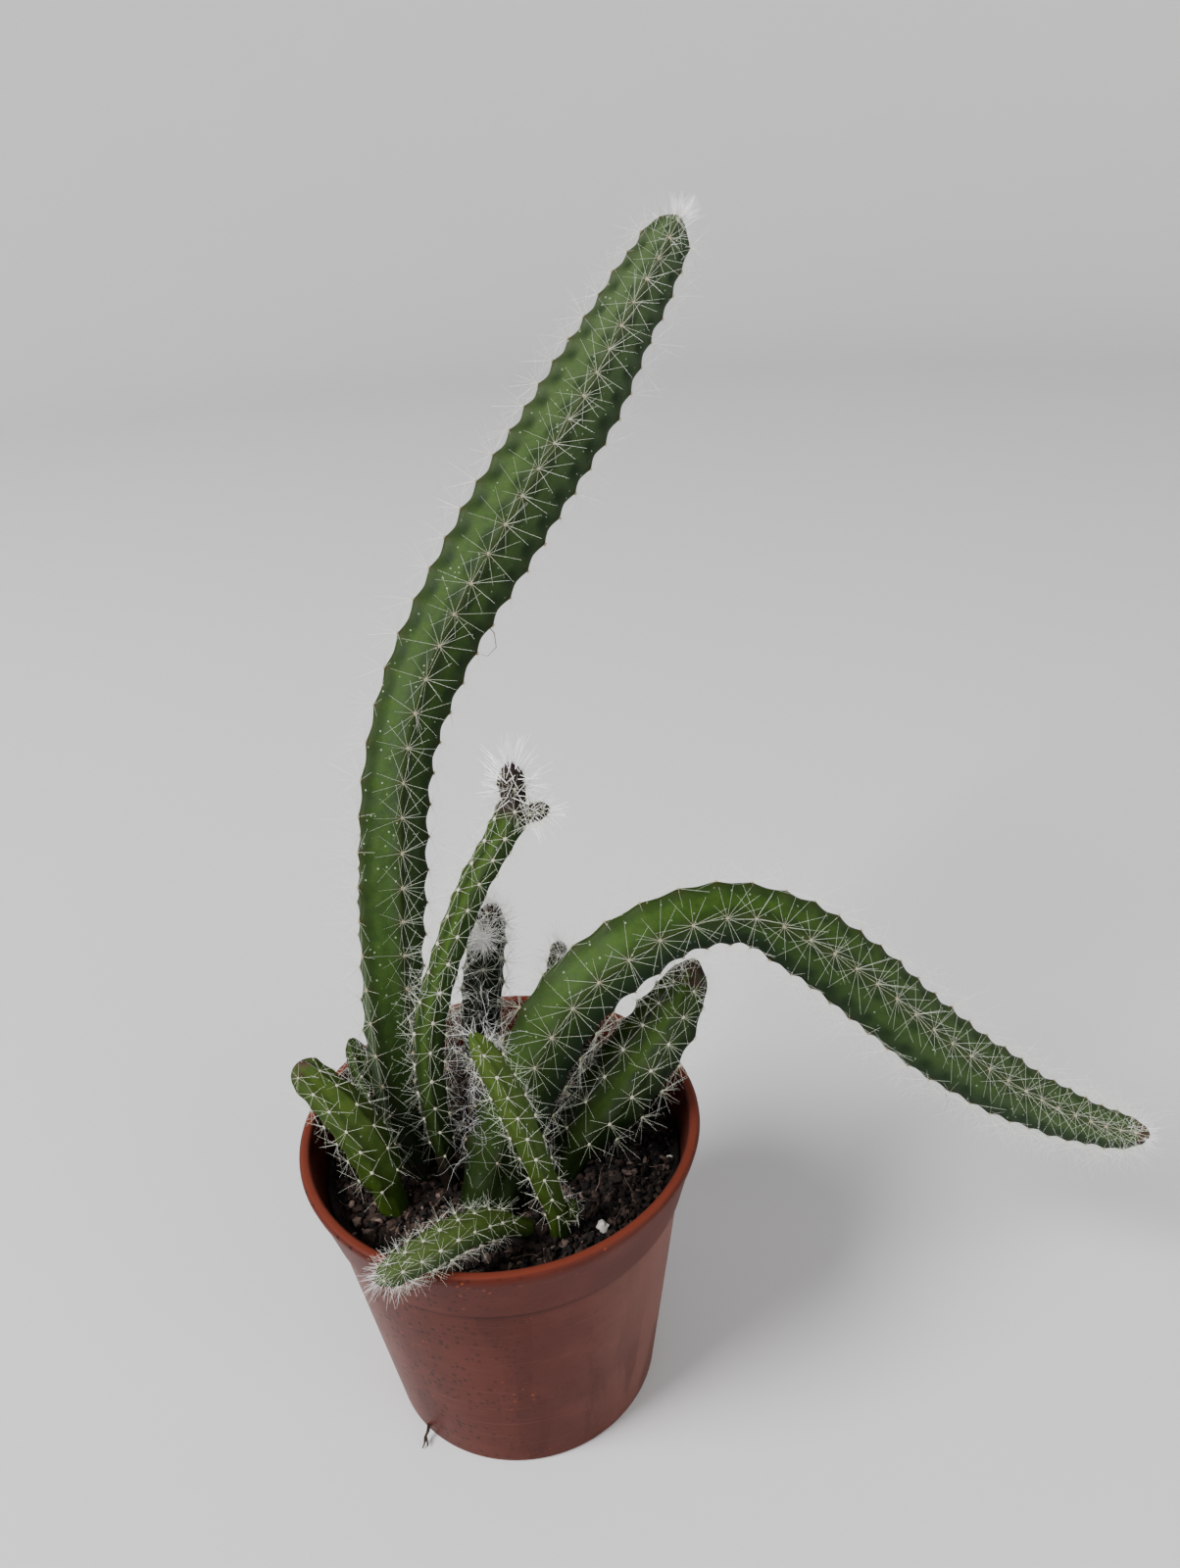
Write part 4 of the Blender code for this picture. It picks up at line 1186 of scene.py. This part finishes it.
# %% Helpers for spines
SPINE_TAPER = 0.5
SPINE_ROOT_DEPTH = 0.3 * MM
SPINE_SIDES = 3
SHORTEST_SPINE = 1.5 * MM
RADIAL_LEAN = (56, 84)
CENTRAL_LEAN = (8, 52)
UNEVEN_TURN = 0.3
LENGTH_SPREAD = (0.72, 1.15)
TIP_LENGTH = 0.6
TIP_FADE = 12 * MM
CLEAR_START = 1.5 * MM
FULL_HEIGHT = 35 * MM
SPARSE_SPAN = (0.2, 1.0)
SPARSE = 0.5
CROWN_DEPTH = 3 * MM
CROWN_CROWDING = 1.5
CROWN_OUTWARD = 0.25
CROWN_SPREAD = 55
CROWN_LENGTHS = (0.55, 1.1)


def direction(axes, lean, sweep):
    """A direction that leans away from the first axis, swept round it, in degrees."""
    out, along, across = axes
    lean = math.radians(lean)
    sweep = math.radians(sweep)
    return out * math.cos(lean) + (along * math.cos(sweep) + across * math.sin(sweep)) * math.sin(lean)


def axes_about(way):
    """A direction with two more at right angles to it."""
    across = way.orthogonal().normalized()
    return way, across, way.cross(across)


def clear_length(root, way, length):
    """How far a spine can run before it meets a skin."""
    for tree in skin_trees:
        hit = tree.ray_cast(root + way * CLEAR_START, way, length)[3]
        if hit is not None:
            length = min(length, hit)
    return length


def add_spine(bm, reach, root, way, length, radius):
    start = root - way * SPINE_ROOT_DEPTH
    matrix = way.to_track_quat("Z", "Y").to_matrix().to_4x4()
    matrix.translation = start + way * length / 2
    made = bmesh.ops.create_cone(bm, cap_ends=True, segments=SPINE_SIDES, radius1=radius,
                                 radius2=radius * SPINE_TAPER, depth=length, matrix=matrix)
    for vert in made["verts"]:
        vert[reach] = (vert.co - start).length / length


def grow_spines(stem, rng):
    """All the spines of a stem's cushions."""
    radials, centrals, full, radius = stem.plan["spines"]
    for place, *axes, distance in stem.cushions():
        share = min(1.0, (stem.length - distance) / TIP_FADE + TIP_LENGTH)
        start = rng.uniform(0, 360)
        above = (distance - stem.soil_at) / FULL_HEIGHT if stem.planted else 1.0
        count = round(radials * float(np.interp(above, SPARSE_SPAN, (SPARSE, 1.0))))
        turns = []
        for number in range(count):
            lean = rng.uniform(*RADIAL_LEAN)
            turns.append((lean, start + 360 * (number + rng.uniform(-UNEVEN_TURN, UNEVEN_TURN)) / count))
        turns += [(rng.uniform(*CENTRAL_LEAN), rng.uniform(0, 360)) for _ in range(centrals)]
        for lean, sweep in turns:
            way = direction(axes, lean, sweep)
            length = clear_length(place, way, full * MM * share * rng.uniform(*LENGTH_SPREAD))
            if length > SHORTEST_SPINE:
                yield place, way, length, radius * MM


def grow_crown(stem, rng):
    """The finer, whiter spines that crowd a growing tip."""
    count, full, radius = stem.plan["crown"]
    zone = stem.end_zone() + CROWN_DEPTH
    for _ in range(count):
        back = rng.uniform(0, 1)**CROWN_CROWDING * zone
        distance = stem.length - back
        centre, along, front, side = stem.frame_at(distance)
        angle = rng.uniform(0, 2 * math.pi)
        out = Vector(front * math.cos(angle) + side * math.sin(angle))
        place = Vector(centre) + out * stem.crest_radius(distance) * (1 + VALLEY) / 2
        outward = CROWN_OUTWARD + (1 - CROWN_OUTWARD) * back / zone
        axis = (Vector(along) * (1 - outward) + out * outward).normalized()
        way = direction(axes_about(axis), rng.uniform(0, CROWN_SPREAD), rng.uniform(0, 360))
        yield place, way, full * MM * rng.uniform(*CROWN_LENGTHS), radius * MM


# %% [markdown]
# ## Cushions
# The spines grow out of a small round cushion of wool. Each cushion is a squashed ball with an
# uneven surface, sunk a little into the bump that carries it.

# %% Cushions, spines and crowns
CUSHION_SHAPE = (0.9, 1.15, 0.55)
CUSHION_UNEVEN = 0.22
CUSHION_SIZES = (0.85, 1.15)
TIP_CUSHION = 0.55
TIP_CUSHION_FADE = 20 * MM
BALL_DETAIL = 2
SPINE_SEED = 11


def add_ball(bm, layer, centre, matrix, detail, uneven, value, rng):
    """A ball that is turned and squashed by a matrix, with every point pushed in or out."""
    made = bmesh.ops.create_icosphere(bm, subdivisions=detail, radius=1.0, matrix=matrix)
    for vert in made["verts"]:
        vert.co += (vert.co - centre) * rng.uniform(-uneven, uneven)
        vert[layer] = value


def grow_cushions(stem, rng):
    for place, out, along, across, distance in stem.cushions():
        size = stem.plan["cushion"] * MM * min(1.0, TIP_CUSHION + (stem.length - distance) / TIP_CUSHION_FADE)
        size *= rng.uniform(*CUSHION_SIZES)
        turn = Matrix((across, along, out)).transposed().to_4x4()
        squash = Matrix.Diagonal((*(size * part for part in CUSHION_SHAPE), 1.0))
        matrix = Matrix.Translation(place) @ turn @ squash
        yield place, matrix, BALL_DETAIL, CUSHION_UNEVEN, 1.0, rng


rng = random.Random(SPINE_SEED)
for name, stem in stems.items():
    cushions = gather(grow_cushions(stem, rng), add_ball, "reach")
    add_piece(name + "_cushions", cushions, wools[stem.plan["wool"]], stem.slot)
    spines = gather(grow_spines(stem, rng), add_spine, "reach")
    finish = shaded_spine if name in INNER_STEMS else pale_spine
    add_piece(name + "_spines", spines, finish, stem.slot, smooth=False)
    crown = gather(grow_crown(stem, rng), add_spine, "reach")
    add_piece(name + "_crown", crown, white_hair, stem.slot, smooth=False)

# %% [markdown]
# ## Loose soil
# Crumbs are small balls with every point pushed in or out, laid where the bed is bare: a crumb
# that would land inside a stem is drawn again. Small crumbs need fewer faces than lumps. White
# perlite keeps the mix airy: one grain shows plainly in front and a few more lie about.

# %% Crumbs, lumps and perlite
CRUMB_SEED = 23
CRUMB_COUNT = 4600
CRUMB_SIZES = (0.45, 1.25)
CRUMB_DETAIL = 1
CRUMB_UNEVEN = 0.46
CRUMB_PILE = 1.4 * MM
CRUMB_WIDTHS = (0.5, 1)
CRUMB_HEIGHTS = (0.3, 0.8)
CRUMB_LIFT = 0.25
SMALL_SHARE = 1.5
DARK_SHARE = 1.3
LUMP_COUNT = 240
LUMP_SIZES = (1.0, 1.7)
PERLITE_COUNT = 9
PERLITE_SIZES = (0.6, 0.95)
BIG_GRAIN = Vector((25.4, -30.0, 78.2)) * MM
BIG_GRAIN_SIZE = 1.5 * MM
BIG_GRAIN_UNEVEN = 0.2
EDGE_MARGIN = 1.5 * MM
FOOT_MARGIN = 0.4
FEET = [(stem.plug_radius, stem.read(stem.points, stem.soil_at)) for stem in stems.values() if stem.planted]


def bare_spot(rng, margin):
    """A seeded spot on the soil that isn't under a stem, and lies clear of the wall."""
    edge = wall_inside(SOIL_LEVEL) - EDGE_MARGIN - margin
    while True:
        angle = rng.uniform(0, 2 * math.pi)
        radius = edge * math.sqrt(rng.uniform(0, 1))
        x = radius * math.cos(angle)
        y = radius * math.sin(angle)
        if all(math.hypot(x - foot[0], y - foot[1]) > radius + margin * FOOT_MARGIN for radius, foot in FEET):
            return Vector((x, y, soil_height(x, y)))


def scatter(rng, *spreads):
    """A seeded vector, with its own spread along each axis."""
    return Vector([rng.gauss(0, spread) for spread in spreads])


def random_turn(rng):
    axis = scatter(rng, 1, 1, 1).normalized()
    return Matrix.Rotation(rng.uniform(0, math.pi), 4, axis)


def strew(count, sizes, detail, rng, pile=0.0):
    """Uneven balls at seeded spots, piled up a little, most of them dark and a few pale."""
    for _ in range(count):
        size = rng.uniform(*sizes)**SMALL_SHARE * MM
        spot = bare_spot(rng, size)
        width = size * rng.uniform(*CRUMB_WIDTHS)
        squash = Matrix.Diagonal((size, width, size * rng.uniform(*CRUMB_HEIGHTS), 1))
        spot.z += size * CRUMB_LIFT + pile * rng.random()**2
        matrix = Matrix.Translation(spot) @ random_turn(rng) @ squash
        yield spot, matrix, detail, CRUMB_UNEVEN, rng.random()**DARK_SHARE, rng


def perlite_grains(rng):
    bm = gather(strew(PERLITE_COUNT, PERLITE_SIZES, BALL_DETAIL, rng), add_ball, "tone")
    matrix = Matrix.Translation(BIG_GRAIN) @ random_turn(rng) @ Matrix.Scale(BIG_GRAIN_SIZE, 4)
    add_ball(bm, bm.verts.layers.float["tone"], BIG_GRAIN, matrix, BALL_DETAIL, BIG_GRAIN_UNEVEN, 1.0, rng)
    return bm


rng = random.Random(CRUMB_SEED)
crumbs = gather(strew(CRUMB_COUNT, CRUMB_SIZES, CRUMB_DETAIL, rng, CRUMB_PILE), add_ball, "tone")
add_piece("soil_crumbs", crumbs, potting_mix, "potting_soil", smooth=False)
lumps = gather(strew(LUMP_COUNT, LUMP_SIZES, BALL_DETAIL, rng), add_ball, "tone")
add_piece("soil_lumps", lumps, potting_mix, "potting_soil", smooth=False)
add_piece("soil_perlite", perlite_grains(rng), perlite, "potting_soil", smooth=False)

# %% [markdown]
# ## Fibres and stray hair
# A strand is a three-sided ring of edges pulled from point to point and thinned on the way.
# Short brown strands are the fibres of the mix. Long white ones are the loose hair that has
# tangled between the stems.

# %% Helper that draws a strand
STRAND_SIDES = 3
STRAND_TAPER = 0.7


def draw_strand(bm, reach, points, radius):
    """Extrude a tiny triangle along the points, thinning towards the end."""
    front = (points[1] - points[0]).orthogonal().normalized()
    made = bmesh.ops.create_circle(bm, cap_ends=True, segments=STRAND_SIDES, radius=radius)
    ring = made["verts"]
    face = ring[0].link_faces[0]
    for number, point in enumerate(points):
        ahead = points[min(number + 1, len(points) - 1)] - points[max(number - 1, 0)]
        ahead.normalize()
        front = (front - ahead * front.dot(ahead)).normalized()
        side = ahead.cross(front)
        if number:
            pulled = bmesh.ops.extrude_face_region(bm, geom=[face])["geom"]
            if number > 1:
                bmesh.ops.delete(bm, geom=[face], context="FACES_ONLY")
            face = [part for part in pulled if isinstance(part, bmesh.types.BMFace)][0]
            ring = list(face.verts)
        share = number / (len(points) - 1)
        width = radius * (1 - STRAND_TAPER * share)
        for corner, vert in enumerate(ring):
            angle = 2 * math.pi * corner / len(ring)
            vert.co = point + (front * math.cos(angle) + side * math.sin(angle)) * width
            vert[reach] = share


def wander(start, way, length, steps, bend, rng):
    """Points along a strand that keeps changing direction a little."""
    points = [start.copy()]
    for _ in range(steps):
        way = (way + scatter(rng, 1, 1, 1) * bend).normalized()
        points.append(points[-1] + way * length / steps)
    return points


# %% Soil fibres and tangled hair
FIBRE_COUNT = 260
FIBRE_STEPS = 6
FIBRE_BEND = 0.22
FIBRE_LENGTHS = (2, 9)
FIBRE_RISE = (-0.05, 0.35)
FIBRE_MARGIN = 4 * MM
FIBRE_LIFT = Vector((0, 0, 0.4 * MM))
FIBRE_RADIUS = 0.09 * MM
TANGLE_LOW = Vector((-9.0, -19.0, 90.0)) * MM
TANGLE_HIGH = Vector((3.0, -13.0, 142.0)) * MM
TANGLE_COUNT = 110
TANGLE_LENGTHS = (6, 16)
HAIR_RADIUS = 0.035 * MM
HAIR_STEPS = 8
HAIR_BEND = 0.35


def soil_fibres(rng):
    for _ in range(FIBRE_COUNT):
        spot = bare_spot(rng, FIBRE_MARGIN)
        heading = rng.uniform(0, 2 * math.pi)
        way = Vector((math.cos(heading), math.sin(heading), rng.uniform(*FIBRE_RISE)))
        length = rng.uniform(*FIBRE_LENGTHS) * MM
        yield wander(spot + FIBRE_LIFT, way, length, FIBRE_STEPS, FIBRE_BEND, rng), FIBRE_RADIUS


def tangle(rng):
    """Fine hair that fills a tall narrow gap, every strand starting somewhere inside it."""
    for _ in range(TANGLE_COUNT):
        share = Vector((rng.random(), rng.random(), rng.random()))
        start = Vector(low + (high - low) * part for low, high, part in zip(TANGLE_LOW, TANGLE_HIGH, share))
        way = scatter(rng, 1, 0.5, 1).normalized()
        length = rng.uniform(*TANGLE_LENGTHS) * MM
        yield wander(start, way, length, HAIR_STEPS, HAIR_BEND, rng), HAIR_RADIUS


fibres = gather(soil_fibres(rng), draw_strand, "reach")
add_piece("soil_fibres", fibres, straw, "potting_soil", smooth=False)
hair = gather(tangle(rng), draw_strand, "reach")
add_piece("tangled_hair", hair, web_hair, "mature_stem", smooth=False)

# %% [markdown]
# ## Tufts and stray strands
# A few tips carry a tuft of softer hair. A stray fibre and a thin hair have caught on the spines,
# and a bit of forked root lies at the pot's foot.

# %% Tufts and stray strands
# Each tuft: its slot, place in millimetres, direction, count, length, spread in degrees and radius.
TUFTS = {
    "tall_tuft": ("mature_stem", (64.4, 134.6, 292.6), (0.5, 0.1, 0.85), 210, 8.0, 50, 0.042),
    "back_tuft": ("dark_stem", (-2.6, 31.0, 124.0), (-0.3, -0.7, 0.5), 300, 6.6, 100, 0.055),
    "bud_tuft": ("dark_stem", (17.6, 33.6, 119.0), (-0.05, 0.0, 1.0), 9, 9.0, 16, 0.06),
}
TUFT_ROOM = 0.5 * MM
TUFT_LENGTHS = (0.5, 1.1)
ROOT_COLOUR = (0.050, 0.030, 0.020)
old_root = bit_material("old_root", ROOT_COLOUR, stain=0.4)
# Each stray strand: its slot, material, radius and route, in millimetres.
STRAYS = {
    "stray_fibre": ("mature_stem", straw, 0.20, [
        (4.4, 62, 203), (6.6, 60, 200.5), (6.8, 59, 197), (4.4, 58.6, 194.8), (1.8, 58.6, 195.6)]),
    "hanging_hair": ("mature_stem", straw, 0.09, [
        (120.6, 9, 79.6), (121.6, 9.6, 76.4), (122.4, 10, 73), (121.4, 10, 70.4), (119.8, 10, 69.6)]),
    "root_bit": ("potting_soil", old_root, 0.70, [
        (-26.6, -27, 3.4), (-26.8, -28.8, 3.0), (-27.6, -30.0, 2.0), (-27.7, -31.2, 1.2),
        (-28.2, -32.2, 0.7)]),
    "root_branch": ("potting_soil", old_root, 0.50, [
        (-27.4, -29.8, 2.2), (-26.9, -31.0, 1.6), (-26.7, -32.0, 1.0)]),
}


def tuft(place, way, count, full, spread, radius, rng):
    """Hairs that fan out from nearly one spot."""
    axes = axes_about(Vector(way).normalized())
    for _ in range(count):
        root = Vector(place) * MM + scatter(rng, 1, 1, 1) * TUFT_ROOM
        heading = direction(axes, spread * math.sqrt(rng.random()), rng.uniform(0, 360))
        yield root, heading, full * MM * rng.uniform(*TUFT_LENGTHS), radius * MM


for name, (slot, *shape) in TUFTS.items():
    add_piece(name, gather(tuft(*shape, rng), add_spine, "reach"), white_hair, slot, smooth=False)
for name, (slot, material, radius, route) in STRAYS.items():
    shape = ([Vector(point) * MM for point in route], radius * MM)
    add_piece(name, gather([shape], draw_strand, "reach"), material, slot, smooth=False)
